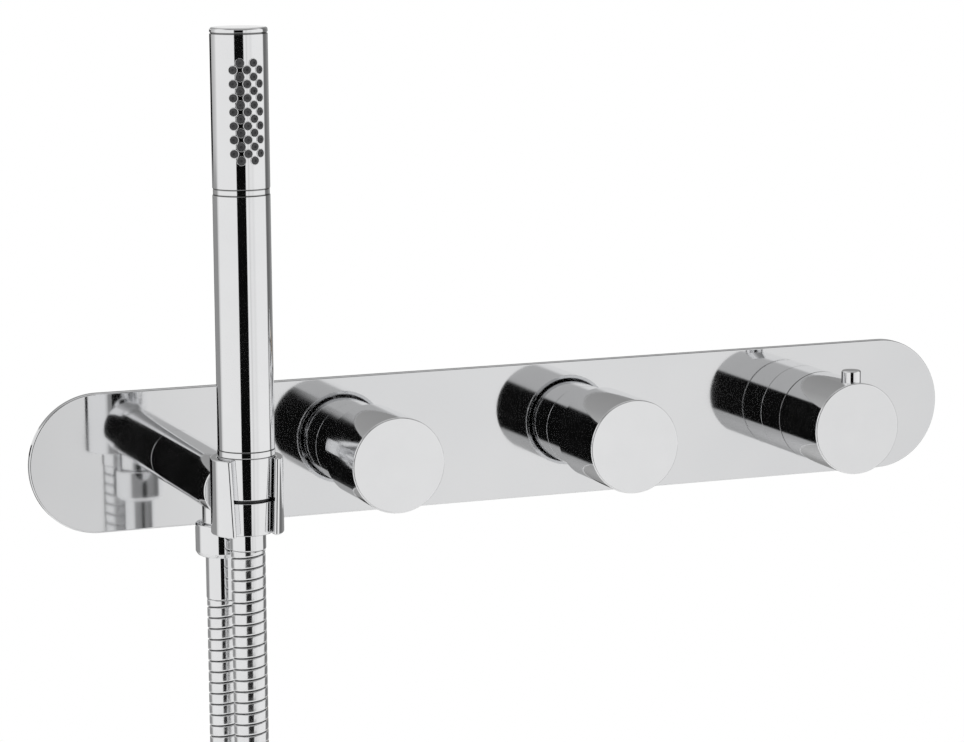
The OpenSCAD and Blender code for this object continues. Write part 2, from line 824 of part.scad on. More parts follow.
module mixing_shuttle() {
    outer = mixer_id - 2 * shuttle_gap;
    middle = (shuttle_from + shuttle_to) / 2;
    color("white") out_from(temperature_x) {
        tube(outer, outer - 2 * shuttle_wall, shuttle_from, shuttle_to);
        difference() {
            rod(outer - 2 * shuttle_wall + seat_gap, middle - shuttle_web / 2, middle + shuttle_web / 2);
            rod(wax_d + 2 * seat_gap, middle - shuttle_web, middle + shuttle_web);
            for (a = [45 : 90 : 315]) rotate(a) translate([shuttle_hole_r, 0, 0])
                rod(shuttle_hole_d, middle - shuttle_web, middle + shuttle_web);
        }
    }
}

module wax_element() {
    middle = (shuttle_from + shuttle_to) / 2;
    color("peru") out_from(temperature_x) {
        rod(wax_d, wax_from, wax_to);
        rod(wax_flange_d, middle + shuttle_web / 2, middle + shuttle_web / 2 + wax_flange_t);
        rod(piston_d, wax_to, drive_nut_from);
    }
}

module drive_nut() {
    color("goldenrod") out_from(temperature_x) difference() {
        rod(drive_nut_d, drive_nut_from, drive_nut_to);
        rod(screw_end_d + 2 * run_gap, drive_nut_from + drive_nut_floor, drive_nut_to + over);
    }
}

module shuttle_spring() {
    middle = (shuttle_from + shuttle_to) / 2;
    color("silver") out_from(temperature_x)
        coil_spring(spring_d, spring_wire, mixer_bottom + mixer_lip, middle - shuttle_web / 2, spring_turns);
}

module temperature_spindle() {
    color("goldenrod") out_from(temperature_x) {
        rod(screw_end_d, screw_end_from, mixer_neck - spindle_step);
        rod(spindle_d, mixer_neck - spindle_step, spline_start);
        rod(spline_d, spline_start, spindle_end);
    }
}

// Arm, hose nipple and holder clip

module outlet_arm() {
    r = arm_d / 2;
    color("gainsboro") difference() {
        out_from(arm_x) {
            rotate_extrude() polygon([[0, plate_face], [r, plate_face], [r, arm_end - arm_chamfer],
                [r - arm_chamfer, arm_end], [0, arm_end]]);
            rod(stem_d, -stem_depth, plate_face);
        }
        out_from(arm_x) rod(arm_bore, -stem_depth - over, outlet_h + arm_bore / 2);
        translate([arm_x, -outlet_h, -r - over]) cylinder(d = nipple_d + 2 * seat_gap, h = nipple_lap + over);
        translate([arm_x, -outlet_h, -r]) cylinder(d = nipple_bore, h = r);
        out_from(arm_x) rod(holder_screw_d + 2 * seat_gap, holder_screw_from, arm_end + over);
    }
}

module outlet_nipple() {
    top = -arm_d / 2 + nipple_lap;
    thread_top = nut_top - nut_thread_inset;
    color("gainsboro") translate([arm_x, -outlet_h, 0]) difference() {
        union() {
            rod(nipple_d, thread_top, top);
            rod(nipple_thread_d, hose_washer_top, thread_top);
        }
        rod(nipple_bore, nut_low, top + over);
    }
}

module slot_cutter() {
    rotate([90, 0, 0]) linear_extrude(holder_d) polygon([
        [-slot_low_w / 2, holder_low - over], [slot_low_w / 2, holder_low - over],
        [slot_top_w / 2, holder_top + over], [-slot_top_w / 2, holder_top + over]]);
}

function cone_d(z) = cone_top_d - cone_taper * (holder_top - z);

module handset_holder() {
    color("gainsboro") difference() {
        union() {
            translate([arm_x, -handset_h, 0]) rod(holder_d, holder_low, holder_top);
            out_from(arm_x) rod(neck_d, arm_end, handset_h - handset_d / 2);
        }
        translate([arm_x, -handset_h, holder_low - over]) cylinder(
            d1 = cone_d(holder_low - over) + 2 * clip_gap, d2 = cone_d(holder_top + over) + 2 * clip_gap,
            h = holder_h + 2 * over);
        translate([arm_x, -handset_h, 0]) slot_cutter();
        out_from(arm_x) rod(holder_screw_d + 2 * seat_gap, arm_end - over, handset_h);
        out_from(arm_x) rod(holder_screw_head_d + 2 * seat_gap, screw_seat, handset_h);
    }
}

screw_seat = handset_h - cone_top_d / 2 - clip_gap - holder_screw_head_t - seat_gap;
holder_screw_from = outlet_h + arm_bore / 2 + holder_screw_wall;

module holder_screw() {
    color("silver") out_from(arm_x) difference() {
        union() {
            rod(holder_screw_d, holder_screw_from + seat_gap, screw_seat);
            rod(holder_screw_head_d, screw_seat, screw_seat + holder_screw_head_t);
        }
        translate([0, 0, screw_seat]) cylinder(d = holder_screw_d / 2, h = holder_screw_head_t + over, $fn = 6);
    }
}

// Hose fittings

module hose_nut() {
    r = nut_d / 2;
    color("gainsboro") translate([arm_x, -outlet_h, 0]) difference() {
        rotate_extrude() polygon([[0, nut_top], [r - knob_chamfer, nut_top], [r, nut_top - knob_chamfer],
            [r, nut_low + nut_chamfer], [r - nut_chamfer / 2, nut_low + nut_chamfer / 4],
            [r - nut_chamfer, nut_low], [0, nut_low]]);
        rod(nipple_thread_d + 2 * seat_gap, nut_low + nut_lip, nut_top + over);
        rod(ferrule_d + 2 * seat_gap, nut_low - over, nut_low + nut_lip + over);
    }
}

module hose_washer() {
    color("dimgray") translate([arm_x, -outlet_h, 0])
        tube(nipple_thread_d - 2 * seat_gap, nipple_bore, ferrule_top, hose_washer_top);
}

module hose_ferrule() {
    low = nut_low - ferrule_h;
    color("gainsboro") translate([arm_x, -outlet_h, 0]) difference() {
        union() {
            rod(ferrule_d, low, ferrule_top);
            rod(nipple_thread_d - 2 * seat_gap, ferrule_top - ferrule_flange_t, ferrule_top);
        }
        rod(hose_bore, low - over, ferrule_top + over);
    }
}

// The hose: two ribbed strands and the coil between them

outlet_strand_top = nut_low - ferrule_h;
handset_strand_top = holder_low - sleeve_h;

module ribbed_strand(top, low) {
    run = top - low;
    ribs = floor((run - 2 * hose_d) / rib_len);
    first = low + (run - ribs * rib_len) / 2;
    crest = hose_d / 2;
    heights = concat([low, first], flat_list([for (i = [0 : ribs - 1])
        [first + (i + 0.5) * rib_len, first + (i + 1) * rib_len]]), [top]);
    radii = concat([crest, crest - rib_depth], flat_list([for (i = [0 : ribs - 1])
        [crest, crest - rib_depth]]), [crest]);
    n = len(heights);
    s = strand_sides;
    outer = flat_list([for (i = [0 : n - 1]) [for (k = [0 : s - 1])
        [radii[i] * cos(360 * k / s), radii[i] * sin(360 * k / s), heights[i]]]]);
    inner = flat_list([for (z = [low, top]) [for (k = [0 : s - 1])
        [hose_bore / 2 * cos(360 * k / s), hose_bore / 2 * sin(360 * k / s), z]]]);
    base = n * s;
    outer_faces = flat_list([for (i = [0 : n - 2]) flat_list([for (k = [0 : s - 1])
        let (a = i * s + k, b = i * s + (k + 1) % s) [[a, a + s, b], [b, a + s, b + s]]])]);
    inner_faces = flat_list([for (k = [0 : s - 1])
        let (a = base + k, b = base + (k + 1) % s) [[a, b, a + s], [b, b + s, a + s]]]);
    low_faces = flat_list([for (k = [0 : s - 1])
        let (a = k, b = (k + 1) % s) [[a, b, base + k], [b, base + (k + 1) % s, base + k]]]);
    top_faces = flat_list([for (k = [0 : s - 1])
        let (a = (n - 1) * s + k, b = (n - 1) * s + (k + 1) % s, c = base + s + k, d = base + s + (k + 1) % s)
        [[a, c, b], [b, c, d]]]);
    polyhedron(points = concat(outer, inner), faces = concat(outer_faces, inner_faces, low_faces, top_faces));
}

module outlet_hose() {
    color("lightgray") translate([arm_x, -outlet_h, 0]) ribbed_strand(outlet_strand_top, strand_low);
}

module handset_hose() {
    color("lightgray") translate([arm_x, -handset_h, 0]) ribbed_strand(handset_strand_top, strand_low);
}

// The coil hangs face on below the strands: a lead-in on each side and the turns between them.
// Angles are taken about the coil's middle, from +X towards +Z.
coil_r = coil_d / 2;
lead_drop = coil_lead_r * sin(coil_lead_turn);
lead_side = coil_lead_r * (1 - cos(coil_lead_turn));
lead_run = (coil_r * cos(90 - coil_lead_turn) - lead_side) / sin(coil_lead_turn);
coil_mid_z = strand_low - hose_d - lead_drop - lead_run * cos(coil_lead_turn) - coil_r * sin(90 - coil_lead_turn);
coil_sweep = 360 * coil_extra_turns + 270;
lead_points = 6;
turn_points = round(coil_turn_points * coil_sweep / 360);

// Left lead-in, down from the strand's end, in X and Z from the strand
lead_in = concat([[0, strand_low]],
    [for (i = [0 : lead_points]) let (a = coil_lead_turn * i / lead_points)
        [-coil_lead_r * (1 - cos(a)), strand_low - hose_d - coil_lead_r * sin(a)]]);
function lead_3d(y, s) = [for (p = lead_in) [arm_x + s * p[0], y, p[1]]];
coil_points = [for (i = [0 : turn_points]) let (s = i / turn_points, a = 180 - coil_lead_turn + coil_sweep * s)
    [arm_x + coil_r * cos(a), -outlet_h - (handset_h - outlet_h) * s, coil_mid_z + coil_r * sin(a)]];
back_lead = lead_3d(-handset_h, -1);
coil_path = concat(lead_3d(-outlet_h, 1), coil_points,
    [for (i = [len(back_lead) - 1 : -1 : 0]) back_lead[i]]);

module hose_coil() {
    color("lightgray") swept(coil_path, hose_d / 2, coil_sides, [0, 1, 0]);
}

// A strap round the two turns at the coil's foot
module hose_tie() {
    turn_gap = (handset_h - outlet_h) * 360 / coil_sweep;
    first_y = outlet_h + (handset_h - outlet_h) * (90 + coil_lead_turn) / coil_sweep;
    middle_y = first_y + turn_gap / 2;
    turn_rise = tie_w / 2 * tan(180 / coil_turn_points);
    inner_h = hose_d + 2 * tie_gap + turn_rise;
    inner_w = inner_h + turn_gap;
    color("dimgray") translate([arm_x - tie_w / 2, -middle_y, coil_mid_z - coil_r + turn_rise / 2]) rotate([90, 0, 90])
        linear_extrude(tie_w) difference() {
            stadium(inner_w + 2 * tie_t, inner_h + 2 * tie_t);
            stadium(inner_w, inner_h);
        }
}

hose_run = outlet_strand_top - strand_low + handset_strand_top - strand_low + path_length(coil_path);
coil_pitch = (handset_h - outlet_h) * 360 / coil_sweep;
echo(hose_run = hose_run, coil_self_gap = coil_pitch - hose_d, coil_mid_z = coil_mid_z);

// Hand shower

swivel_z = holder_low + holder_h / 2 - swivel_t;

module hose_cone() {
    top = swivel_z;
    color("gainsboro") translate([arm_x, -handset_h, 0]) difference() {
        union() {
            translate([0, 0, holder_low]) cylinder(d1 = cone_d(holder_low), d2 = cone_d(top), h = top - holder_low);
            rod(sleeve_d, holder_low - sleeve_h, holder_low);
            rod(swivel_core_d, top, top + swivel_t + swivel_core_h);
        }
        rod(hose_bore, holder_low - sleeve_h - over, top + swivel_t + swivel_core_h + over);
    }
}

module swivel_washer() {
    color("black") translate([arm_x, -handset_h, 0]) tube(cone_d(swivel_z) - 2 * swivel_inset,
        swivel_core_d + 2 * part_gap, swivel_z + film, swivel_z + swivel_t);
}

ring_low = holder_top + part_gap;
ring_top = ring_low + ring_h;

module handset_connector() {
    low = swivel_z + swivel_t;
    color("gainsboro") translate([arm_x, -handset_h, 0]) difference() {
        union() {
            translate([0, 0, low]) cylinder(d1 = cone_d(low), d2 = cone_d(holder_top), h = holder_top - low);
            rod(cone_d(holder_top), holder_top, ring_low);
            rod(handset_d + 2 * ring_proud, ring_low, ring_top);
            rod(handset_d - 2 * tube_wall - 2 * seat_gap, ring_top, ring_top + grip_lap);
        }
        rod(swivel_core_d + 2 * run_gap, low - over, low + swivel_core_h + part_gap);
        rod(water_bore, low, ring_top + grip_lap + over);
        rod(water_tube_d + 2 * seat_gap, ring_top, ring_top + grip_lap + over);
    }
}

module handle_tube() {
    color("gainsboro") translate([arm_x, -handset_h, 0])
        tube(handset_d, handset_d - 2 * tube_wall, ring_top, band_z);
}

module water_tube() {
    color("whitesmoke") translate([arm_x, -handset_h, 0])
        tube(water_tube_d, water_bore, ring_top, band_z - plug_h);
}

module band_ring() {
    inner = handset_d - 2 * tube_wall - 2 * seat_gap;
    color("gainsboro") translate([arm_x, -handset_h, 0]) difference() {
        union() {
            rod(handset_d - 2 * band_inset, band_z, band_z + band_h);
            rod(inner, band_z - plug_h, band_z + band_h + insert_t);
        }
        rod(water_bore, band_z - plug_h - over, band_z + band_h + insert_t + over);
    }
}

head_low = band_z + band_h;
head_top = handset_top - cap_h;

// Calls its child at each nozzle's angle and height
module at_nozzles() {
    for (column = [-2 : 2]) {
        rows = abs(column) == 1 ? nozzle_rows + 1 : nozzle_rows;
        for (row = [0 : rows - 1])
            translate([0, 0, nozzle_mid_z + (row - (rows - 1) / 2) * nozzle_pitch])
                rotate([90, 0, column * nozzle_turn]) children();
    }
}

module handset_head() {
    color("gainsboro") translate([arm_x, -handset_h, 0]) difference() {
        tube(handset_d, handset_d - 2 * tube_wall, head_low, head_top);
        at_nozzles() rod(nozzle_d + 2 * nozzle_hole_gap, handset_d / 4, handset_d / 2 + over);
    }
}

module nozzle_insert() {
    outer = handset_d - 2 * tube_wall - 2 * insert_gap;
    color("dimgray") translate([arm_x, -handset_h, 0]) {
        tube(outer, outer - 2 * insert_t, head_low + insert_t + seat_gap, head_top - cap_lap - seat_gap);
        at_nozzles() rod(nozzle_d, outer / 2 - insert_t / 2, handset_d / 2 + nozzle_proud);
    }
}

module head_cap() {
    r = handset_d / 2;
    color("gainsboro") translate([arm_x, -handset_h, 0]) {
        rotate_extrude() polygon([[0, head_top], [r - cap_gap, head_top], [r - cap_gap, head_top + cap_gap],
            [r, head_top + cap_gap], [r, handset_top - end_radius],
            [r - end_radius / 4, handset_top - end_radius / 4], [r - end_radius, handset_top], [0, handset_top]]);
        tube(handset_d - 2 * tube_wall - 2 * seat_gap, handset_d - 4 * tube_wall,
            head_top - cap_lap, head_top + cap_gap);
    }
}

wall_plate();
plate_seal();
valve_body();
fixing_rail();
body_screws();
inlet_strainers();
check_valve_housings();
hot_check_poppet();
cold_check_poppet();
hot_check_spring();
cold_check_spring();
flow_housings();
fixed_discs();
cartridge_seals();
gland_nuts();
flow_collars();
overhead_moving_disc();
overhead_spindle();
overhead_adaptor();
overhead_knob_screw();
overhead_knob();
handset_moving_disc();
handset_spindle();
handset_adaptor();
handset_knob_screw();
handset_knob();
thermostat_housing();
stop_ring();
temperature_collar();
temperature_spindle();
temperature_adaptor();
temperature_knob_screw();
temperature_knob();
override_button();
override_spring();
mixing_shuttle();
wax_element();
drive_nut();
shuttle_spring();
outlet_arm();
outlet_nipple();
handset_holder();
holder_screw();
hose_nut();
hose_washer();
hose_ferrule();
outlet_hose();
hose_coil();
hose_tie();
handset_hose();
hose_cone();
swivel_washer();
handset_connector();
handle_tube();
water_tube();
band_ring();
handset_head();
nozzle_insert();
head_cap();
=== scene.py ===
# %% [markdown]
# # A built-in thermostatic shower valve
# Only the chrome shows on the real valve: a long plate on the wall, three knobs, an arm with a clip
# for the hand shower, and a ribbed hose. The brass body, the cartridges and the rail sit in the wall.
# The imported model already holds every piece at its real size and place. This lesson rebuilds the
# pieces that show, with rounded edges and mirror-smooth curves, and gives every piece its finish.

# %% Load the CAD model
import math

import bpy
import numpy as np
from mathutils import Matrix, Vector, geometry


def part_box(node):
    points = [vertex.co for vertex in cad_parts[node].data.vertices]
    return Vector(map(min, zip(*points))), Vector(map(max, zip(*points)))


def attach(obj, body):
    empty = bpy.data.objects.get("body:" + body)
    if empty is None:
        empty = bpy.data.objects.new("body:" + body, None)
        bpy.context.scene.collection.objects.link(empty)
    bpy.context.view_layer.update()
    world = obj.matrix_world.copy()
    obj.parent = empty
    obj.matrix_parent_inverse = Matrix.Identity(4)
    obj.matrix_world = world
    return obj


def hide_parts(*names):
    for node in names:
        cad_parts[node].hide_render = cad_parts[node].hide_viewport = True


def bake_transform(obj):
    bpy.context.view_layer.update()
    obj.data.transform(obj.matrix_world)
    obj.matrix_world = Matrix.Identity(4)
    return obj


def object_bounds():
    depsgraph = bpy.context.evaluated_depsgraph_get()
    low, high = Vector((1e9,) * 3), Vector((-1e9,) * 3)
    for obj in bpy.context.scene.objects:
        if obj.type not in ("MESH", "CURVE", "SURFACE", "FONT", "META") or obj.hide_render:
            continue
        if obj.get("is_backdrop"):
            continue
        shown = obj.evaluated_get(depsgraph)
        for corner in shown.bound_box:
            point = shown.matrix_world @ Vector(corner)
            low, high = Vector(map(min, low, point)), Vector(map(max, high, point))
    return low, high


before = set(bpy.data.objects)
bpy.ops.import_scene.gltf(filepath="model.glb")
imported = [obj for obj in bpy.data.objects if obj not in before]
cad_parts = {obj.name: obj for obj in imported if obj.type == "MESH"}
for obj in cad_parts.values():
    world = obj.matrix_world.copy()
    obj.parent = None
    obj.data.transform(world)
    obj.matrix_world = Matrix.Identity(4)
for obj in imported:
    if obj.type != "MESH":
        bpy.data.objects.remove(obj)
cad_low, cad_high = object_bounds()
MM = 0.001
print("the CAD box in mm:", [round(v / MM, 1) for v in (*cad_low, *cad_high)])

# %% [markdown]
# ## The camera
# The photograph was taken from the left and from a little above, with a long lens. The plate's
# outline and the knobs' circles fix where the camera stood. The camera is made first, because the
# hose that is put away below has to stay out of what it sees.

# %% Camera
CAMERA_PLACE = (-0.57829, -1.44467, 0.27968)
FRAME_WIDTH_PX, FOCAL_PX = 964, 3241.87

# The camera looks along +Y and is then turned to the right, down, and about its view.
yaw, pitch, roll = 0.3738, 0.1592, -0.007
ahead = np.array([math.sin(yaw) * math.cos(pitch), math.cos(yaw) * math.cos(pitch), -math.sin(pitch)])
level = np.array([math.cos(yaw), -math.sin(yaw), 0.0])
upward = np.cross(level, ahead)
right = math.cos(roll) * level + math.sin(roll) * upward
up = math.cos(roll) * upward - math.sin(roll) * level
camera_data = bpy.data.cameras.new("camera")
camera_data.sensor_width = 36
camera_data.lens = FOCAL_PX / FRAME_WIDTH_PX * camera_data.sensor_width
camera = bpy.data.objects.new("camera", camera_data)
bpy.context.scene.collection.objects.link(camera)
facing = Matrix(np.stack([right, up, -ahead], 1).tolist()).to_4x4()
camera.matrix_world = Matrix.Translation(CAMERA_PLACE) @ facing
bpy.context.scene.camera = camera
print("lens in mm:", round(camera_data.lens, 2))

# %% [markdown]
# ## From numbers to a mesh
# A shape here is a grid of points worked out as whole arrays. Mirror-bright chrome shows every facet,
# so each point also gets the true direction of its surface. Blender then shades between those
# directions, and a cylinder of many flat sides reflects like a turned one.

# %% Mesh helpers


def unit(vectors):
    """Each vector divided by its length."""
    return vectors / np.linalg.norm(vectors, axis=-1, keepdims=True)


def spoke(angle):
    """(cos, sin) of each angle, in radians."""
    return np.stack([np.cos(angle), np.sin(angle)], -1)


def grid_quads(rows, columns, closed_rows=False):
    """The quads of a grid whose last column joins its first; its rows may close too."""
    i, k = np.meshgrid(np.arange(rows - (not closed_rows)), np.arange(columns), indexing="ij")
    i, k = i.ravel(), k.ravel()
    k_next, low, high = (k + 1) % columns, i * columns, (i + 1) % rows * columns
    return np.stack([low + k, low + k_next, high + k_next, high + k], 1)


def grid_shape(points, normals, closed_rows=False):
    """A grid of points in millimetres as a shape: points in metres, arrays of faces, and directions."""
    faces = grid_quads(*points.shape[:2], closed_rows)
    return points.reshape(-1, 3) * MM, [faces], normals.reshape(-1, 3)


def weld(points, faces, *values):
    """Points in the same place become one, and corners that fell together leave their face."""
    keys = np.round(points / (MM * 0.0005)).astype(np.int64)
    _, first, same = np.unique(keys, axis=0, return_index=True, return_inverse=True)
    same = same.reshape(-1)
    kept = []
    for face in faces:
        ring = same[face]
        corners = ring != np.roll(ring, -1, axis=1)
        counts = corners.sum(1)
        for size in range(3, face.shape[1] + 1):
            chosen = counts == size
            if chosen.any():
                kept.append(ring[chosen][corners[chosen]].reshape(-1, size))
    return points[first], kept, *(None if v is None else v[first] for v in values)


def make_mesh(name, points, faces, normals=None, gap_shade=None):
    """A mesh from points in metres, arrays of faces of one size each, and a direction per point.

    The last argument is painted shade: how dark each point is made in seams and grooves, from 0 to 1, for
    the chrome's nodes.
    """
    points, faces, normals, gap_shade = weld(points, faces, normals, gap_shade)
    mesh = bpy.data.meshes.new(name)
    mesh.vertices.add(len(points))
    mesh.vertices.foreach_set("co", points.astype(np.float32).ravel())
    sizes = np.concatenate([np.full(len(f), f.shape[1]) for f in faces])
    corners = np.concatenate([f.ravel() for f in faces])
    mesh.loops.add(len(corners))
    mesh.loops.foreach_set("vertex_index", corners.astype(np.int32))
    mesh.polygons.add(len(sizes))
    mesh.polygons.foreach_set("loop_start", (np.cumsum(sizes) - sizes).astype(np.int32))
    mesh.update(calc_edges=True)
    mesh.shade_smooth()
    if normals is not None:
        mesh.normals_split_custom_set_from_vertices(unit(normals).tolist())
    if gap_shade is not None:
        mesh.attributes.new("gap_shade", "FLOAT", "POINT").data.foreach_set("value", gap_shade.astype(np.float32))
    return mesh


def add_piece(name, shape, slot, body, *stands_for, gap_shade=None):
    """Puts a shape in the scene in its slot's finish, on its body, in place of the CAD nodes named."""
    # When given, painted shade for the shape's seams and grooves goes with it.
    mesh = make_mesh(name, *shape, gap_shade)
    piece = bpy.data.objects.new(name, mesh)
    bpy.context.scene.collection.objects.link(piece)
    mesh.materials.append(bpy.data.materials[slot])
    if body:
        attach(piece, body)
    if stands_for:
        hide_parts(*stands_for)
    print(f"{name}: {len(mesh.vertices)} points, {len(mesh.polygons)} faces")
    return piece


def joined(*parts):
    """Several shapes as one."""
    offsets = np.cumsum([0] + [len(p[0]) for p in parts[:-1]])
    points, normals = (np.concatenate([p[n] for p in parts]) for n in (0, 2))
    return points, [f + offset for p, offset in zip(parts, offsets) for f in p[1]], normals


# %% [markdown]
# ## Turned pieces
# Knobs, collars, nuts and tubes come off a lathe. Here a profile gets a small fillet at each corner
# and is carried round an axis. A Bevel modifier on a cylinder would look alike from afar, but its
# shading would run into the flat face beside it.

# %% Turned shapes


def rounded(corners, closed=False, steps=5):
    """Corners (radius, height, fillet), anticlockwise, as a profile's points and outward directions.

    A fillet's arc touches both sides of its corner: its ends lie fillet * tan(turn / 2) from the
    corner, and the direction turns evenly along it.
    """
    corners = np.array(corners, float)
    place, fillet = corners[:, :2], corners[:, 2]
    into = unit(place - np.roll(place, 1, 0))
    out = np.roll(into, -1, 0)
    if not closed:
        fillet[[0, -1]] = 0
        into[0], out[-1] = out[0], into[-1]
    start = np.arctan2(-into[:, 0], into[:, 1])
    turn = np.arctan2(into[:, 0] * out[:, 1] - into[:, 1] * out[:, 0], (into * out).sum(1))
    side = np.where(turn < 0, -1.0, 1.0)
    outward = np.stack([into[:, 1], -into[:, 0]], 1)
    back = fillet * np.tan(np.abs(turn) / 2)
    centre = place - into * back[:, None] - outward * (side * fillet)[:, None]
    direction = spoke(start[:, None] + turn[:, None] * np.linspace(0, 1, steps))
    points = centre[:, None] + direction * (side * fillet)[:, None, None]
    if closed:
        return points.reshape(-1, 2), direction.reshape(-1, 2)
    return tuple(np.concatenate([v[0, :1], v[1:-1].reshape(-1, 2), v[-1, :1]]) for v in (points, direction))


def with_rows(profile, direction, heights):
    """The profile with a point added wherever it crosses one of the heights, in a straight line."""
    low, high = profile[:-1, 1, None], profile[1:, 1, None]
    at, which = np.nonzero((low - heights) * (high - heights) < -1e-12)
    share = (np.array(heights)[which] - low[at, 0]) / (high[at, 0] - low[at, 0])
    order = np.lexsort((share, at))
    at, share = at[order], share[order, None]
    added = [v[at] * (1 - share) + v[at + 1] * share for v in (profile, direction)]
    return np.insert(profile, at + 1, added[0], axis=0), np.insert(direction, at + 1, added[1], axis=0)


def axes_along(axis):
    """Two directions across an axis, right-handed with it; the first is +X where it can be."""
    axis = unit(np.array(axis, float))
    first = np.array([1.0, 0, 0]) if abs(axis[0]) < 0.9 else np.array([0, 0, 1.0])
    first = unit(first - axis * (first @ axis))
    return first, np.cross(axis, first), axis


def swing(radius_height, angles, origin, axis):
    """Profile values (radius, height) carried round an axis: origin + r * (cos, sin) + h * axis."""
    first, second, along = axes_along(axis)
    across = np.cos(angles)[..., None] * first + np.sin(angles)[..., None] * second
    return np.array(origin, float) + radius_height[..., 0:1] * across + radius_height[..., 1:2] * along


def revolve(corners, origin, axis, closed=False, sides=144, steps=5, rows=()):
    """A rounded profile turned about an axis, as a shape. Sizes are in millimetres."""
    profile, direction = rounded(corners, closed, steps)
    if len(rows):
        profile, direction = with_rows(profile, direction, rows)
    angles = np.arange(sides) * math.tau / sides
    points = swing(profile[:, None], angles[None], origin, axis)
    return grid_shape(points, swing(direction[:, None], angles[None], (0, 0, 0), axis), closed)


OUT, UPWARD = (0, -1, 0), (0, 0, 1)


def turned(name, corners, origin, node, body="valve", axis=UPWARD, slot="chrome", closed=True, seams=(),
           width=0.3):
    """Adds one turned piece, with shade painted into its colour where it meets its neighbour: at the heights
    of its seams.
    """
    rows = [seam + side for seam in seams for side in (-width, 0, width)]
    shape = revolve(corners, origin, axis, closed, rows=rows)
    height = (shape[0] / MM - np.array(origin)) @ unit(np.array(axis, float))
    gap_shade = np.zeros(len(height))
    # Painted shade: strongest on each seam, gone one width away from it.
    for seam in seams:
        gap_shade = np.maximum(gap_shade, np.clip(1 - np.abs(height - seam) / width, 0, 1))
    return add_piece(name, shape, slot, body, node, gap_shade=gap_shade)


# %% [markdown]
# ## The hose
# A shower hose is a tube wound from one long strip of metal, so its ribs are a single helix and its
# grooves climb to the right. It is a cord of fixed length: 1.5 m with its fittings, the usual length
# of such a set. The photograph shows two strands of it, and the rest is put away below in a coil. The
# grid's own lines follow the helix, so a groove lies along them and stays crisp with few points.

# %% The hose's route
HOSE_D, RIB = 15.2, 5.0
ARM_X, OUTLET_OUT, CLIP_OUT = -166.0, 73.0, 111.0
STRAND_LOW, COIL_MID = -128.0, -303.131
COIL_R, LEAD_R, LEAD_TURN, COIL_SWEEP = 92.0, 72.0, math.radians(45), math.radians(630)


def lead_in(side, out):
    """Down from the strand's end, in an arc that turns away from the strand to one side."""
    angle = np.linspace(0, LEAD_TURN, 25)
    x = ARM_X - side * LEAD_R * (1 - np.cos(angle))
    z = STRAND_LOW - HOSE_D - LEAD_R * np.sin(angle)
    return np.stack([x, np.full_like(x, -out), z], 1)


def coil_turns():
    """One and three quarter turns about the coil's middle, which step evenly from strand to strand."""
    share = np.linspace(0, 1, 421)
    angle = math.pi - LEAD_TURN + COIL_SWEEP * share
    out = OUTLET_OUT + (CLIP_OUT - OUTLET_OUT) * share
    return np.stack([ARM_X + COIL_R * np.cos(angle), -out, COIL_MID + COIL_R * np.sin(angle)], 1)


def evenly(points, step):
    """A route's points again at equal steps along it."""
    along = np.concatenate([[0], np.cumsum(np.linalg.norm(np.diff(points, axis=0), axis=1))])
    stops = np.linspace(0, along[-1], max(2, round(along[-1] / step) + 1))
    return np.stack([np.interp(stops, along, points[:, c]) for c in range(3)], 1), along[-1]


outlet_route = np.concatenate([
    [[ARM_X, -OUTLET_OUT, -52.0], [ARM_X, -OUTLET_OUT, STRAND_LOW]],
    lead_in(1, OUTLET_OUT), coil_turns(), lead_in(-1, CLIP_OUT)[::-1], [[ARM_X, -CLIP_OUT, STRAND_LOW]]])
handset_route = np.array([[ARM_X, -CLIP_OUT, -22.0], [ARM_X, -CLIP_OUT, STRAND_LOW]])
print("hose in mm:", [round(evenly(r, 1)[1], 1) for r in (outlet_route, handset_route)])

# %% The ribbed tube
GROOVE_SHARES = np.array([0, 0.03, 0.06, 0.1, 0.2, 0.5, 0.8, 0.9, 0.94, 0.97])
GROOVE_DEPTH, CREST_SAG, GROOVE_HALF = 0.9, 0.12, 0.08


def rib_radius(share):
    """The hose's radius at a share of one rib: a low crown between thin grooves with sloping sides."""
    off = np.minimum(share % 1, 1 - share % 1)
    groove = np.clip(1 - off / GROOVE_HALF, 0, 1)
    return HOSE_D / 2 - CREST_SAG * (1 - 2 * off) ** 4 - GROOVE_DEPTH * groove, groove


def ribbed_tube(route, columns):
    """Rings along a route, each sheared by one rib in a full turn: s = s' + rib * angle / turn.

    The radius depends on the share of the rib alone. A ring's last point joins the ring one rib
    further on, and at both ends the points are held at the end of the route.
    """
    centre, length = evenly(route, 1.0)
    along = np.linspace(0, length, len(centre))
    start = (np.arange(-1, math.ceil(length / RIB) + 1)[:, None] + GROOVE_SHARES).ravel() * RIB
    angle = np.arange(columns) * math.tau / columns
    s = np.clip(start[:, None] + RIB * angle / math.tau, 0, length)
    radius, groove = (np.broadcast_to(v[:, None], s.shape) for v in rib_radius(start / RIB))
    place = np.stack([np.interp(s, along, centre[:, c]) for c in range(3)], -1)
    heading = np.gradient(centre, axis=0)
    heading = unit(np.stack([np.interp(s, along, heading[:, c]) for c in range(3)], -1))
    across = unit(np.array([0, 1.0, 0]) - heading * heading[..., 1:2])
    other = np.cross(heading, across)
    points = place + radius[..., None] * (np.cos(angle)[:, None] * across + np.sin(angle)[:, None] * other)
    i, k = np.meshgrid(np.arange(len(start)), np.arange(columns), indexing="ij")
    i_turned = np.where(k == columns - 1, i + len(GROOVE_SHARES), i)
    k_next = (k + 1) % columns
    inside = (i + 1 < len(start)) & (i_turned + 1 < len(start))
    quads = np.stack([i * columns + k, i_turned * columns + k_next,
                      (i_turned + 1) * columns + k_next, (i + 1) * columns + k], -1)[inside]
    # The groove's depth is returned too: it is painted shade for the grooves.
    return (points.reshape(-1, 3) * MM, [quads[:, ::-1]], None), groove.ravel(), length
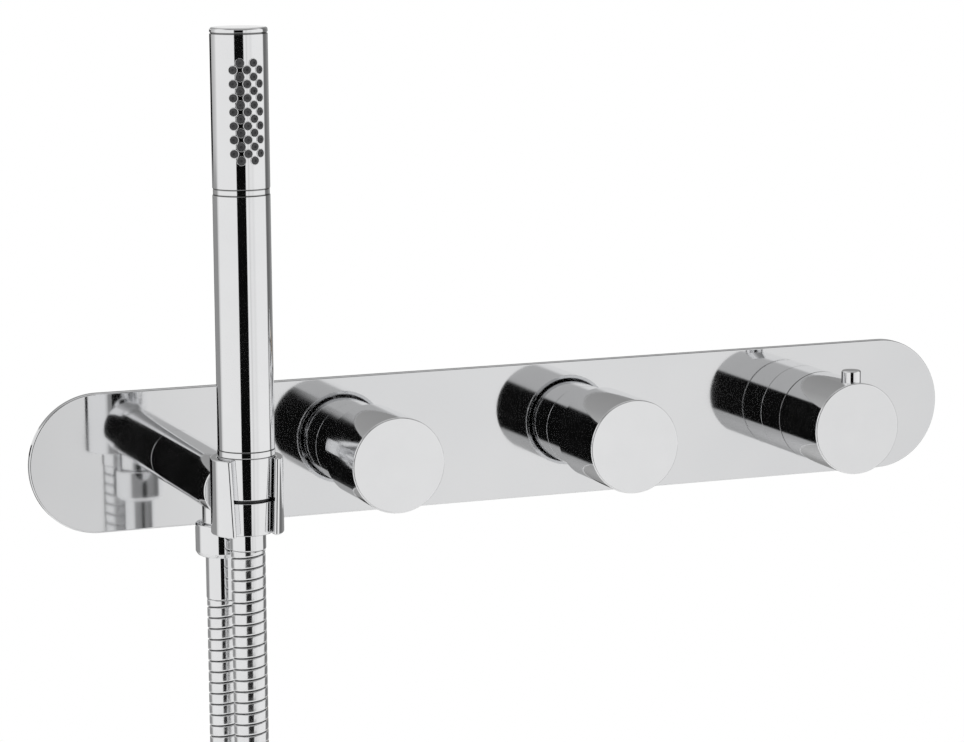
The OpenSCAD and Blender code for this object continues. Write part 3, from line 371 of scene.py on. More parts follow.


# The groove's depth also darkens the grooves' colour: painted shade.
shape, groove, outlet_length = ribbed_tube(outlet_route, 36)
hose_from_outlet = add_piece("hose_from_outlet", shape, "hose_chrome", "valve", "outlet_hose", "hose_coil",
                             gap_shade=groove)

# %% [markdown]
# The strand that holds the hand shower runs straight down from the hose's end in the clip to the coil.
# It is a piece of its own on no body, so it stays in place. The real hose slides up out of its coil
# when the hand shower is lifted out of its clip.

# %% The hose under the hand shower
# Its grooves get painted shade as well.
shape, groove, handset_length = ribbed_tube(handset_route, 64)
hose_to_handset = add_piece("hose_to_handset", shape, "hose_chrome", None, "handset_hose", gap_shade=groove)
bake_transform(hose_to_handset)

# %% [markdown]
# ## The wall plate
# The plate is pressed from thick sheet, so its front edge is softly rounded and its face is flat. A
# rounded profile runs round the outline, with the seal's groove in it, and two flat faces with four
# holes close the front and the back.

# %% Shapes carried along an outline


def stadium_outline(width, height, per_end=96):
    """An outline of two half circles joined by straight sides, with its outward directions."""
    angle = np.concatenate([np.linspace(-90, 90, per_end), np.linspace(90, 270, per_end)])
    direction = spoke(angle * math.pi / 180)
    middle = np.repeat([[(width - height) / 2, 0], [(height - width) / 2, 0]], per_end, axis=0)
    return middle + direction * height / 2, direction


def carried(corners, outline, direction, place, closed=False, steps=5):
    """A rounded profile carried round an outline: outline + direction * offset, at the profile's height.

    place turns (across, along, height) into the object's frame.
    """
    def placed(values, middle):
        flat = middle + direction[None] * values[:, :1, None]
        rise = np.broadcast_to(values[:, None, 1:], (*flat.shape[:2], 1))
        return place(np.concatenate([flat, rise], -1))

    profile, facing = rounded(corners, closed, steps)
    return grid_shape(placed(profile, outline[None]), placed(facing, 0) - place(np.zeros(3)), closed)


def filled(loops, height, facing, place):
    """A flat face at a height, between an outline and its holes, facing along the height or against it."""
    points = np.concatenate(loops)
    triangles = np.array(geometry.tessellate_polygon([[Vector((*p, 0)) for p in loop] for loop in loops]))
    a, b, c = (points[triangles[:, n]] for n in range(3))
    area = (b[:, 0] - a[:, 0]) * (c[:, 1] - a[:, 1]) - (b[:, 1] - a[:, 1]) * (c[:, 0] - a[:, 0])
    triangles = np.where((area * facing < 0)[:, None], triangles[:, ::-1], triangles)
    flat = place(np.insert(points, 2, height, axis=1))
    normals = np.broadcast_to(place(np.array([0.0, 0, facing])) - place(np.zeros(3)), flat.shape)
    return flat * MM, [triangles], normals


def on_wall(v):
    """(along the plate, upwards, out of the wall) as (x, y, z)."""
    return np.stack([v[..., 0], -v[..., 2], v[..., 1]], -1)


# %% The plate
PLATE_W, PLATE_H, PLATE_T = 474.0, 66.0, 3.0
TEMPERATURE_X, PITCH = 160.0, 119.0
FLOW_X = (TEMPERATURE_X - 2 * PITCH, TEMPERATURE_X - PITCH)
PLATE_HOLES = [(FLOW_X[0], 35.0), (FLOW_X[1], 35.0), (TEMPERATURE_X, 40.2), (ARM_X, 21.4)]

outline, outward = stadium_outline(PLATE_W, PLATE_H)
edge = carried([(-8, 0, 0), (-7, 0, 0.1), (-7, 1.6, 0.1), (-3, 1.6, 0.1), (-3, 0, 0.1), (0, 0, 0.2),
                (0, PLATE_T, 0.8), (-2, PLATE_T, 0)], outline, outward, on_wall, steps=7)
across = spoke(np.arange(144) * math.tau / 144)
rings = [[x, 0] + across * bore / 2 for x, bore in PLATE_HOLES]
walls = [carried([(0.5, PLATE_T, 0), (0, PLATE_T, 0.2), (0, 0, 0.2), (0.5, 0, 0)], ring, across, on_wall)
         for ring in rings]
holes = [(ring + 0.5 * across)[::-1] for ring in rings]
faces = [filled([outline - inset * outward, *holes], height, facing, on_wall)
         for inset, height, facing in ((2, PLATE_T, 1), (8, 0, -1))]
add_piece("plate", joined(edge, *walls, *faces), "plate_chrome", "valve", "wall_plate")

# %% [markdown]
# ## The knobs
# Each knob is a deep turned cup with a flat face. Its skirt is pierced: a hole below for the grub
# screw that holds the knob on its spindle, and on the temperature knob a larger hole on top for the
# override button. A Boolean would spoil the directions that keep the mirror smooth. So a block of the
# wall's quads is left out, and rings that change from a square to the hole's circle take its place.

# %% Pierced walls


def wall(radius, low, high, holes):
    """Corners up or down a straight wall, with a row at every step of each hole's block."""
    rows = [h + half * j / count for h, _, _, count, half in holes for j in range(-count, count + 1)]
    return [(radius, row, 0) for row in sorted(rows, reverse=high < low)]


def hole_rings(r_out, r_in, hole, origin, axis, sides, edge=0.25):
    """Rings from a square block of the outer wall, over the hole's edge and through it, to the inner wall.

    Between square and circle the points move in a straight line as seen along the hole. A ring's
    angle about the axis is asin(sideways / radius), so each ring lies on its cylinder.
    """
    height, radius, column, count, half = hole
    run, side = np.arange(-count, count), np.full(2 * count, count)
    u, v = np.concatenate([run, side, -run, -side]), np.concatenate([-side, run, side, -run])
    across, rise = np.sin(u * math.tau / sides), v * half / count
    psi = np.arctan2(rise, across * r_out)
    around = spoke(psi).T

    def patch(cylinder, shares):
        square = np.stack([across * cylinder, rise])
        return [(square * (1 - t) + around * (radius + edge) * t, cylinder) for t in shares]

    turn = np.linspace(0, math.pi / 2, 5)
    spread = radius + edge - edge * np.sin(turn)
    rim = [(around * s, edge - edge * math.cos(a)) for s, a in zip(spread, turn)]
    rings = patch(r_out, np.linspace(0, 1, 5)) + [(p, r_out - d) for p, d in rim[1:]]
    rings += [(p, r_in + d) for p, d in rim[::-1]] + patch(r_in, np.linspace(1, 0, 5)[1:])
    tilt = np.concatenate([np.zeros(5), turn[1:], math.pi - turn[::-1], np.full(4, math.pi)])
    sideways, up = np.stack([p for p, _ in rings], 1)
    cylinder = np.array([c for _, c in rings])[:, None]
    angle = column * math.tau / sides + np.arcsin(sideways / cylinder)
    points = swing(np.stack([np.broadcast_to(cylinder, up.shape), height + up], -1), angle, origin, axis)
    radial, along = swing(np.array([1.0, 0]), angle, (0, 0, 0), axis), axes_along(axis)[2]
    inward = -(np.cos(psi)[:, None] * np.cross(along, radial) + np.sin(psi)[:, None] * along)
    normals = np.cos(tilt)[:, None, None] * radial + np.sin(tilt)[:, None, None] * inward
    return grid_shape(points, normals)


def pierced(corners, r_out, r_in, holes, origin, axis, sides=144):
    """A turned shape whose wall is pierced by holes: each (height, radius, column, count, half)."""
    profile, _ = rounded(corners)
    points, (quads,), normals = revolve(corners, origin, axis, sides=sides)
    i, k = quads[:, 0] // sides, quads[:, 0] % sides
    middle = (profile[i] + profile[i + 1]) / 2
    straight = np.abs(middle[:, :1] - [r_out, r_in]).min(1) < 0.01
    kept = np.ones(len(quads), bool)
    for height, _, column, count, half in holes:
        across = (k + 0.5 - column + sides / 2) % sides - sides / 2
        kept &= ~(straight & (np.abs(middle[:, 1] - height) < half) & (np.abs(across) < count))
    return joined((points, [quads[kept]], normals),
                  *(hole_rings(r_out, r_in, hole, origin, axis, sides) for hole in holes))


# %% The three knobs
KNOB_R, KNOB_BACK, KNOB_SEAM = 22.5, 23.5, 0.25
HUB_R, HUB_BORE, HUB_BACK, HUB_DEPTH = 13, 9.1, 31, 54.1
SCREW_HOLE = (46.0, 2.5, 108, 4, 3.9)
BUTTON_HOLE = (56.0, 4.8, 36, 6, 5.3)


def knob(name, x, back, face, rim, front, body, node, holes=(SCREW_HOLE,), seam=0.0):
    """A cup with a flat face and a hub inside: the profile runs from the hub's bore to the face's middle."""
    inner = KNOB_R - rim
    corners = [(0, HUB_DEPTH, 0), (HUB_BORE, HUB_DEPTH, 0.3), (HUB_BORE, HUB_BACK, 0.3),
               (HUB_R, HUB_BACK, 0.3), (HUB_R, face - front, 0.5), (inner, face - front, 0.2),
               *wall(inner, face, back, holes),
               (inner, back, 0.15), (KNOB_R, back, 0.25), *wall(KNOB_R, back, face, holes),
               (KNOB_R, face, 0.75), (0, face, 0)]
    shape = pierced(corners, KNOB_R, inner, holes, (x, 0, 0), OUT)
    # Painted shade in the seam at the skirt's back edge, as strong as seam says.
    gap_shade = seam * np.clip(1 - np.abs(-shape[0][:, 1] / MM - back) / KNOB_SEAM, 0, 1)
    return add_piece(name, shape, "chrome", body, node, gap_shade=gap_shade)


knob("flow_knob_overhead", FLOW_X[1], KNOB_BACK, 63.8, 1.5, 3.0, "overhead_control", "overhead_knob")
knob("flow_knob_handset", FLOW_X[0], KNOB_BACK, 63.8, 1.5, 3.0, "handset_control", "handset_knob")
knob("temperature_dial", TEMPERATURE_X, 24.1, 63.0, 2.3, 1.4, "temperature_control", "temperature_knob",
     (SCREW_HOLE, BUTTON_HOLE), seam=1.0)

# %% [markdown]
# ## Collars
# A fixed collar closes the gap between the plate and each knob. The flow knobs' collars are narrower
# than the knobs and run up inside them. The temperature knob's collar has the knob's own diameter,
# so only a thin seam parts the two.

# %% Collars
parts = [revolve([(17.3, 3, 0.2), (20, 3, 0.2), (20, 27, 0.4), (17.3, 27, 0.4)], (x, 0, 0), OUT, closed=True)
         for x in FLOW_X]
add_piece("collars_of_flow_knobs", joined(*parts), "chrome", "valve", "flow_collars")
turned("collar_of_temperature_knob", [(19.9, 3, 0.2), (22.5, 3, 0.25), (22.5, 23.5, 0.2), (19.9, 23.5, 0.2)],
       (TEMPERATURE_X, 0, 0), "temperature_collar", axis=OUT, seams=(3, 23.5), width=0.2)

# %% [markdown]
# ## Outlet arm, nipple and nut
# The arm is a round bar, bored from the back, that carries the water out of the wall. The nipple
# under it takes the hose's nut. All of them are turned and chromed.

# %% Arm and fittings
ARM, NIPPLE, HAND = (ARM_X, 0, 0), (ARM_X, -OUTLET_OUT, 0), (ARM_X, -CLIP_OUT, 0)
turned("arm", [(0, 79, 0), (6, 79, 0.4), (6, -24, 0.3), (10.4, -24, 0.5), (10.4, 3, 0), (13, 3, 0.3),
               (13, 89, 0.7), (0, 89, 0)], ARM, "outlet_arm", axis=OUT, closed=False)
turned("nipple", [(5, -26.6, 0.3), (10.4, -26.6, 0.5), (10.4, -18.2, 0.3), (9, -18.2, 0.2), (9, -8, 0.2),
                  (5, -8, 0.2)], NIPPLE, "outlet_nipple")
turned("nut", [(7.9, -32, 0.3), (10.25, -32, 0.4), (11.25, -31.5, 0.5), (12.25, -30, 0.6),
               (12.25, -17.2, 0.6), (10.5, -17.2, 0.3), (10.5, -30, 0.2), (7.9, -30, 0.2)],
       NIPPLE, "hose_nut")
turned("ferrule", [(4, -52, 0.3), (7.8, -52, 0.7), (7.8, -30, 0.1), (10.3, -30, 0.3), (10.3, -28.6, 0.3),
                   (4, -28.6, 0.3)], NIPPLE, "hose_ferrule")

# %% [markdown]
# ## The clip
# The clip is a thick-walled sleeve with a tapered bore and a slot in front, through which the hose
# passes. Its section is a C: two arcs and two slot faces, with a fillet at each of the four slot
# edges. The section changes a little with height, since the bore widens and the slot opens upwards.

# %% Clip
CLIP_R, CLIP_LOW, CLIP_TOP, CLIP_RIM = 16.0, -14.5, 17.5, 19.3


def cone_radius(z):
    """The tapered fit: 12.3 mm at CLIP_TOP, and 3.75 mm less in radius per 100 mm down."""
    return 12.3 - 0.0375 * (CLIP_TOP - z)


def c_section(z, outer_fillet=1.3, inner_fillet=0.6, steps=9):
    """The clip's outline at a height, anticlockwise from the right slot edge, and its directions.

    A fillet's centre lies one fillet from the slot's face and one from the arc, measured along
    the line from the clip's middle.
    """
    half = (17.0 + 2.5 * (z - CLIP_LOW) / (CLIP_TOP - CLIP_LOW)) / 2
    inner = cone_radius(z) + 0.3
    centre = []
    for reach, fillet in ((CLIP_R - outer_fillet, outer_fillet), (inner + inner_fillet, inner_fillet)):
        x = half + fillet
        centre.append(np.array([x, -math.sqrt(reach ** 2 - x ** 2)]))
    outer_angle, inner_angle = (math.atan2(y, x) for x, y in centre)
    turn_in = np.linspace(inner_angle + math.pi, math.pi, steps)
    turn_out = np.linspace(math.pi, math.tau + outer_angle, steps)
    edges = np.concatenate([centre[1] + inner_fillet * spoke(turn_in),
                            centre[0] + outer_fillet * spoke(turn_out)])
    facing = spoke(np.concatenate([turn_in, turn_out]))
    outer = spoke(np.linspace(outer_angle, math.pi - outer_angle, 145)[1:-1])
    bore = spoke(np.linspace(math.pi - inner_angle, inner_angle, 145)[1:-1])
    flip = np.array([-1.0, 1.0])
    points = np.concatenate([edges, CLIP_R * outer, edges[::-1] * flip, inner * bore])
    return points, np.concatenate([facing, outer, facing[::-1] * flip, -bore])


def at_clip(v):
    """(across, back, up) about the clip's middle as (x, y, z)."""
    return v + np.array(HAND)


EDGE = 0.7
turn = np.linspace(0, math.pi / 2, 6)
rim = [(EDGE * (1 - math.sin(a)), EDGE * (1 - math.cos(a)), math.sin(a)) for a in turn]
levels = [(CLIP_LOW + down, inset, -lift) for down, inset, lift in rim[::-1]]
levels += [(z, 0, 0) for z in np.linspace(CLIP_LOW + EDGE, CLIP_RIM - EDGE, 9)[1:-1]]
levels += [(CLIP_RIM - down, inset, lift) for down, inset, lift in rim]
rows, facings = [], []
for z, inset, lift in levels:
    section, directions = c_section(z)
    rows.append(np.insert(section - directions * inset, 2, z, axis=1))
    facings.append(np.insert(directions * math.sqrt(1 - lift ** 2), 2, lift, axis=1))
caps = [filled([rows[n][:, :2]], rows[n][0, 2], facing, at_clip) for n, facing in ((0, -1), (-1, 1))]
neck = revolve([(0, 89, 0), (7.5, 89, 0), (7.5, 98, 0), (0, 98, 0)], ARM, OUT, sides=96)
add_piece("clip", joined(grid_shape(at_clip(np.array(rows)), np.array(facings)), *caps, neck), "chrome",
          "valve", "handset_holder")

# %% [markdown]
# ## The hand shower
# A slim tube from end to end: a tapered foot that sits in the clip, a thin black washer that lets the
# hose turn, the handle, a joint ring and the spray head. Every seam is a narrow step between two
# softly broken edges, with shade painted into it, so that it reads as a fine dark line.

# %% Hand shower, turned pieces
R, BORE = 12.5, 11.1
turned("cone_of_hose", [(4, -22, 0.3), (8, -22, 0.6), (8, -14.5, 0.2), (11.1, -14.5, 0.4),
                        (cone_radius(0.1), 0.1, 0.3), (6.5, 0.1, 0), (6.5, 7.5, 0.3), (4, 7.5, 0.3)],
       HAND, "hose_cone", "hose_end", seams=(-14.5, -22))
turned("washer_of_swivel", [(6.8, 0.12, 0.1), (10.45, 0.12, 0.3), (10.45, 1.5, 0.3), (6.8, 1.5, 0.1)],
       HAND, "swivel_washer", "handset", slot="black_plastic")
turned("connector", [(6.6, 1.5, 0.2), (cone_radius(1.5), 1.5, 0.35), (12.3, 17.5, 0), (12.3, 20.1, 0.1),
                     (12.65, 20.1, 0.3), (12.65, 22.8, 0.3), (11.0, 22.8, 0.1), (11.0, 27.4, 0.2),
                     (8.1, 27.4, 0.2), (8.1, 7.8, 0.2), (6.6, 7.8, 0.2)],
       HAND, "handset_connector", "handset", seams=(19.95, 22.8), width=0.4)
turned("handle", [(BORE, 22.8, 0.15), (R, 22.8, 0.3), (R, 134.2, 0.3), (BORE, 134.2, 0.15)],
       HAND, "handle_tube", "handset", seams=(22.8, 134.2), width=0.4)
turned("joint_ring", [(8.1, 126.2, 0.2), (11.0, 126.2, 0.2), (11.0, 134.2, 0.05), (12.25, 134.2, 0.2),
                      (12.25, 136.9, 0.2), (11.0, 136.9, 0.05), (11.0, 138.5, 0.2), (8.1, 138.5, 0.2)],
       HAND, "band_ring", "handset", seams=(134.2, 136.9), width=0.6)
turned("head", [(BORE, 136.9, 0.15), (R, 136.9, 0.3), (R, 203.4, 0.25), (BORE, 203.4, 0.15)],
       HAND, "handset_head", "handset", seams=(136.9, 203.4), width=0.4)
turned("cap", [(0, 203.4, 0), (9.7, 203.4, 0.2), (9.7, 197.4, 0.2), (11.0, 197.4, 0.2), (11.0, 203.4, 0.05),
               (12.1, 203.4, 0.05), (12.1, 203.9, 0.05), (12.5, 203.9, 0.2), (12.5, 206, 1.1), (0, 206, 0)],
       HAND, "head_cap", "handset", closed=False, seams=(203.65,), width=0.4)
# %% [markdown]
# The spray face is a grid of soft rubber nozzles in five columns, staggered like bricks. Each nozzle
# is a small turned dome with a hole in it, repeated by turning and lifting one dome. Rubber nozzles
# let limescale be rubbed off, so they stand slightly proud of the metal, each in a thin raised lip.

# %% Nozzles
NOZZLE_TURN, NOZZLE_START, NOZZLE_PITCH, NOZZLE_MID = 13.8, -2.0, 5.95, 170.4
column, row = np.array([(c, r) for c in range(-2, 3) for r in range(8 if abs(c) == 1 else 7)]).T
turns = np.radians(NOZZLE_START + column * NOZZLE_TURN)
heights = NOZZLE_MID + (row - (np.where(np.abs(column) == 1, 8, 7) - 1) / 2) * NOZZLE_PITCH


def repeated(shape):
    """A shape copied for every nozzle: turned about the hand shower's axis, then lifted."""
    points, faces, normals = shape
    middle = np.array(HAND) * MM
    cos, sin = np.cos(turns), np.sin(turns)
    spin = np.zeros((len(turns), 3, 3))
    spin[:, 0, 0], spin[:, 0, 1], spin[:, 1, 0], spin[:, 1, 1], spin[:, 2, 2] = cos, -sin, sin, cos, 1
    lifted = np.einsum("tij,pj->tpi", spin, points - middle) + middle
    lifted[..., 2] += (heights * MM)[:, None]
    shift = np.arange(len(turns))[:, None, None] * len(points)
    every = [(f[None] + shift).reshape(-1, f.shape[1]) for f in faces]
    return lifted.reshape(-1, 3), every, np.einsum("tij,pj->tpi", spin, normals).reshape(-1, 3)


dome = revolve([(0, 10.0, 0), (1.7, 10.0, 0.1), (1.7, 13.0, 0.45), (0.55, 13.0, 0.15), (0.45, 12.6, 0.05),
                (0, 12.6, 0)], HAND, OUT, sides=28, steps=4)
liner = revolve([(9.35, 138.6, 0.1), (10.95, 138.6, 0.1), (10.95, 197.3, 0.1), (9.35, 197.3, 0.1)], HAND,
                UPWARD, closed=True, sides=96, steps=2)
add_piece("nozzles", joined(liner, repeated(dome)), "nozzle_rubber", "handset", "nozzle_insert")
lip = revolve([(1.74, 12.0, 0), (2.1, 12.0, 0), (2.1, 12.66, 0.14), (1.74, 12.66, 0.14)], HAND, OUT,
              closed=True, sides=28, steps=4)
add_piece("lips_of_nozzles", repeated(lip), "chrome", "handset")

# %% [markdown]
# ## The override button
# A short hollow pin on top of the temperature knob. Pressed in, its pawl passes inside the stop ring's
# tab, so that the knob can be turned past 38 degrees. It is turned too, and the pawl under it is a
# thin bar with rounded edges.

# %% Button
button = revolve([(0, 19.3, 0), (3.15, 19.3, 0.2), (3.15, 16.6, 0.2), (4.75, 16.6, 0.2), (4.75, 17.9, 0.05),
                  (5.25, 17.9, 0.1), (5.25, 19.1, 0.1), (4.75, 19.1, 0.05), (4.75, 28.0, 0.7), (0, 28.0, 0)],
                 (TEMPERATURE_X, -56, 0), UPWARD, sides=96)
PAWL_HALF, PAWL_UP, PAWL_FROM, PAWL_TO, PAWL_EDGE = np.array([1.5, 0.9]), 17.9, 25.5, 52.05, 0.2


def along_out(v):
    """(across, up, out) about the temperature knob's axis as (x, y, z)."""
    return on_wall(v) + np.array([TEMPERATURE_X, 0, 0])


facing = spoke((np.arange(4)[:, None] * 90 + np.linspace(0, 90, 5)).ravel() * math.pi / 180)
signs = np.repeat([[1, 1], [-1, 1], [-1, -1], [1, -1]], 5, axis=0)
inset = signs * (PAWL_HALF - PAWL_EDGE) + [0, PAWL_UP]
pawl = [carried([(-PAWL_EDGE, PAWL_FROM, 0), (0, PAWL_FROM, 0.15), (0, PAWL_TO, 0.15),
                 (-PAWL_EDGE, PAWL_TO, 0)], inset + PAWL_EDGE * facing, facing, along_out)]
pawl += [filled([inset], h, s, along_out) for h, s in ((PAWL_FROM, -1), (PAWL_TO, 1))]
add_piece("override_pin", joined(button, *pawl), "chrome", "override_button", "override_button")

# %% [markdown]
# ## Springs
# Four small springs hide in the valve: one behind each check valve's poppet, one under the override
# button and one under the mixing shuttle. A spring is a wire carried along a helix, fixed in the place
# of the imported spring, between the two pieces it pushes apart.

# %% Springs


def spring(name, node, axis, wire, turns):
    """A wire round a helix: radius * (cos, sin) across the axis, and an even climb along it.

    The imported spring's box gives the place, the radius and both ends.
    """
    low, high = (np.array(v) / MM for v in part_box(node))
    around, across, along = np.eye(3)[[(axis + 1) % 3, (axis + 2) % 3, axis]]
    radius, climb = (high - low) @ around / 2 - wire / 2, high[axis] - low[axis] - wire
    share = np.linspace(0, 1, 28 * turns + 1)[:, None]
    turn = math.tau * turns * share
    radial = np.cos(turn) * around + np.sin(turn) * across
    sideways = np.cos(turn) * across - np.sin(turn) * around
    binormal = unit(radius * along - climb / (math.tau * turns) * sideways)
    phi = (np.arange(12) * math.tau / 12)[:, None]
    facing = np.cos(phi) * radial[:, None] + np.sin(phi) * binormal[:, None]
    base = (low + high) / 2 * (1 - along)
    middle = base + radial * radius + (low[axis] + wire / 2 + climb * share) * along
    tips = np.repeat(middle[[0, -1], None], 12, axis=1)
    points = np.concatenate([tips[:1], middle[:, None] + facing * (wire / 2), tips[1:]])
    facing = np.concatenate([facing[:1], facing, facing[-1:]])
    shape = (points.reshape(-1, 3) * MM, [grid_quads(len(points), 12)[:, ::-1]], facing.reshape(-1, 3))
    piece = add_piece(name, shape, "spring_steel", None, node)
    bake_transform(piece)


spring("spring_of_hot_check", "hot_check_spring", 1, 0.8, 4)
spring("spring_of_cold_check", "cold_check_spring", 1, 0.8, 4)
spring("spring_of_button", "override_spring", 2, 0.8, 4)
spring("spring_of_shuttle", "shuttle_spring", 1, 1.2, 5)

# %% [markdown]
# ## The strap on the coil
# A soft rubber strap holds the coil's two turns side by side at its foot. It is a band carried along
# a stadium, with rounded rims.

# %% Strap
TIE_T = 1.6
tie_low, tie_high = (np.array(v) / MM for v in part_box("hose_tie"))
tie_size, tie_mid = tie_high - tie_low, (tie_high + tie_low) / 2


def about_strap(v):
    """(back, up, along the strap's width) about the strap's middle as (x, y, z)."""
    return np.stack([v[..., 2], v[..., 0], v[..., 1]], -1) + tie_mid


tie_outline, tie_out = stadium_outline(tie_size[1], tie_size[2], 64)
half = tie_size[0] / 2
strap = carried([(-TIE_T, -half, 0.4), (0, -half, 0.5), (0, half, 0.5), (-TIE_T, half, 0.4)], tie_outline,
                tie_out, about_strap, closed=True)
strap_piece = add_piece("strap_of_coil", strap, "tie_rubber", "valve", "hose_tie")

# %% [markdown]
# ## Finishes
# Every finish is a small set of nodes that read Object coordinates, which are true metres in this
# scene. One function builds them all from a few numbers: noise turned into roughness, into a change
# of colour and into faint bumps.

# %% Node helpers


def node(tree, kind, inputs=(), **settings):
    """A new node with its settings; each input is given a number, a vector, or an output to link."""
    made = tree.nodes.new("ShaderNode" + kind)
    for name, value in settings.items():
        setattr(made, name, value)
    for socket, value in dict(inputs).items():
        if isinstance(value, bpy.types.NodeSocket):
            tree.links.new(value, made.inputs[socket])
        else:
            made.inputs[socket].default_value = value
    return made


def noise(tree, size, detail, distortion=0.0, stretch=(1, 1, 1)):
    """Noise whose lumps are about size metres across, squeezed along each axis by stretch."""
    place = node(tree, "TexCoord").outputs["Object"]
    place = node(tree, "Mapping", {"Vector": place, "Scale": stretch}).outputs["Vector"]
    return node(tree, "TexNoise", {"Vector": place, "Scale": 1 / size, "Detail": detail,
                                   "Distortion": distortion}).outputs["Fac"]


LOW_NOISE, HIGH_NOISE = 0.3, 0.7


def coat(slot, color, metallic, roughness, dull, tones, *bumps, dark=None):
    """The slot's material made anew; the constants go on the shader's own sockets.

    dull is the least and the greatest roughness, tones are two colours, and a bump starts with its
    depth in metres. Each goes on with its noise: size, detail, distortion and stretch. dark is the
    colour of the shade painted where the mesh marks a seam or a groove.
    """
    material = bpy.data.materials[slot]
    material.use_nodes = True
    material.diffuse_color = (*color, 1)
    tree = material.node_tree
    tree.nodes.clear()
    shader = node(tree, "BsdfPrincipled", {"Base Color": (*color, 1), "Metallic": metallic,
                                           "Roughness": roughness})
    node(tree, "OutputMaterial", {"Surface": shader.outputs["BSDF"]})
    patches = node(tree, "MapRange", {"Value": noise(tree, *dull[2:]), "From Min": LOW_NOISE,
                                      "From Max": HIGH_NOISE, "To Min": dull[0], "To Max": dull[1]})
    ramp = node(tree, "ValToRGB", {"Fac": noise(tree, *tones[2:])})
    for stop, at, tone in zip(ramp.color_ramp.elements, (LOW_NOISE, HIGH_NOISE), tones):
        stop.position, stop.color = at, (*tone, 1)
    seen_color = ramp.outputs["Color"]
    # Painted shade: the colour turns dark where the mesh marks seams and grooves.
    if dark:
        gap_shade = node(tree, "Attribute", attribute_name="gap_shade").outputs["Fac"]
        seen_color = node(tree, "Mix", {"Factor": gap_shade, "A": seen_color, "B": (*dark, 1)},
                          data_type="RGBA").outputs["Result"]
    normal = None
    for depth, *spots in bumps:
        bump = node(tree, "Bump", {"Distance": depth, "Height": noise(tree, *spots)})
        if normal:
            tree.links.new(normal, bump.inputs["Normal"])
        normal = bump.outputs["Normal"]
    for socket, output in (("Base Color", seen_color), ("Roughness", patches.outputs["Result"]),
                           ("Normal", normal)):
        tree.links.new(output, shader.inputs[socket])

# %% [markdown]
# ## Chrome
# Chrome is polished metal under a thin, slightly blue layer. A perfect mirror looks like a drawing:
# real chrome has water marks that dull it in soft patches, and its polish leaves the surface a few
# thousandths of a millimetre uneven. Both are kept faint here. The hose gets more of the dulling,
# because it is handled and lies in steam.

# %% Chrome finishes
# Chrome and the hose's chrome turn near black in their seams and grooves: painted shade.
coat("chrome", (0.865, 0.868, 0.875), 1.0, 0.05, (0.03, 0.085, 0.03, 5, 0.6),
     ((0.855, 0.858, 0.866), (0.875, 0.878, 0.885), 0.012, 4), (6e-6, 0.02, 1), (2e-7, 0.0006, 2),
     dark=(0.02, 0.02, 0.021))
coat("plate_chrome", (0.81, 0.813, 0.82), 1.0, 0.05, (0.03, 0.08, 0.05, 5, 0.8),
     ((0.795, 0.80, 0.81), (0.825, 0.828, 0.835), 0.06, 2), (1e-5, 0.05, 1), (2e-7, 0.0006, 2))
coat("hose_chrome", (0.86, 0.863, 0.87), 1.0, 0.16, (0.12, 0.22, 0.006, 4, 0.5),
     ((0.84, 0.845, 0.85), (0.88, 0.883, 0.89), 0.004, 3), (4e-6, 0.002, 2), dark=(0.015, 0.015, 0.016))
print("chrome finishes: 3")

# %% [markdown]
# ## Brass, steel and copper
# The body is cast in sand, so its skin is grainy and dull, with darker patches where the sand baked
# on. The cartridges' nuts and housings are turned from bar: fine rings, brighter metal. The rail is
# zinc-plated sheet with a faint mottle, and screws and springs are plain bright steel.

# %% Brass, steel and copper finishes
coat("cast_brass", (0.62, 0.44, 0.20), 1.0, 0.45, (0.34, 0.58, 0.012, 4),
     ((0.47, 0.31, 0.13), (0.71, 0.52, 0.25), 0.02, 6, 0.4), (0.00025, 0.008, 2), (0.00012, 0.0009, 4))
coat("turned_brass", (0.78, 0.58, 0.27), 1.0, 0.25, (0.18, 0.32, 0.004, 3, 0.0, (1, 12, 1)),
     ((0.72, 0.53, 0.24), (0.83, 0.64, 0.32), 0.015, 3), (1e-5, 0.004, 2, 0.0, (0.05, 16, 0.05)))
coat("rail_steel", (0.60, 0.61, 0.62), 1.0, 0.35, (0.28, 0.46, 0.006, 5),
     ((0.55, 0.56, 0.58), (0.65, 0.65, 0.65), 0.009, 4, 1.2), (2e-5, 0.0025, 3))
coat("screw_steel", (0.62, 0.61, 0.58), 1.0, 0.3, (0.22, 0.4, 0.003, 4),
     ((0.55, 0.54, 0.50), (0.69, 0.68, 0.65), 0.004, 3), (1e-5, 0.001, 2))
coat("spring_steel", (0.55, 0.55, 0.56), 1.0, 0.25, (0.18, 0.32, 0.002, 3),
     ((0.48, 0.48, 0.50), (0.62, 0.62, 0.62), 0.003, 3), (6e-6, 0.0008, 2))
coat("copper", (0.86, 0.50, 0.36), 1.0, 0.3, (0.2, 0.38, 0.004, 3),
     ((0.74, 0.39, 0.27), (0.90, 0.56, 0.42), 0.008, 4), (1e-5, 0.001, 2))
print("metal finishes: 6")

# %% [markdown]
# ## Plastic, ceramic and rubber
# Moulded plastic has the fine grain of its mould and is never quite one colour. The ceramic discs are
# lapped until they are flat and waxy. Rubber is dull and dark, with the finest dust on it.

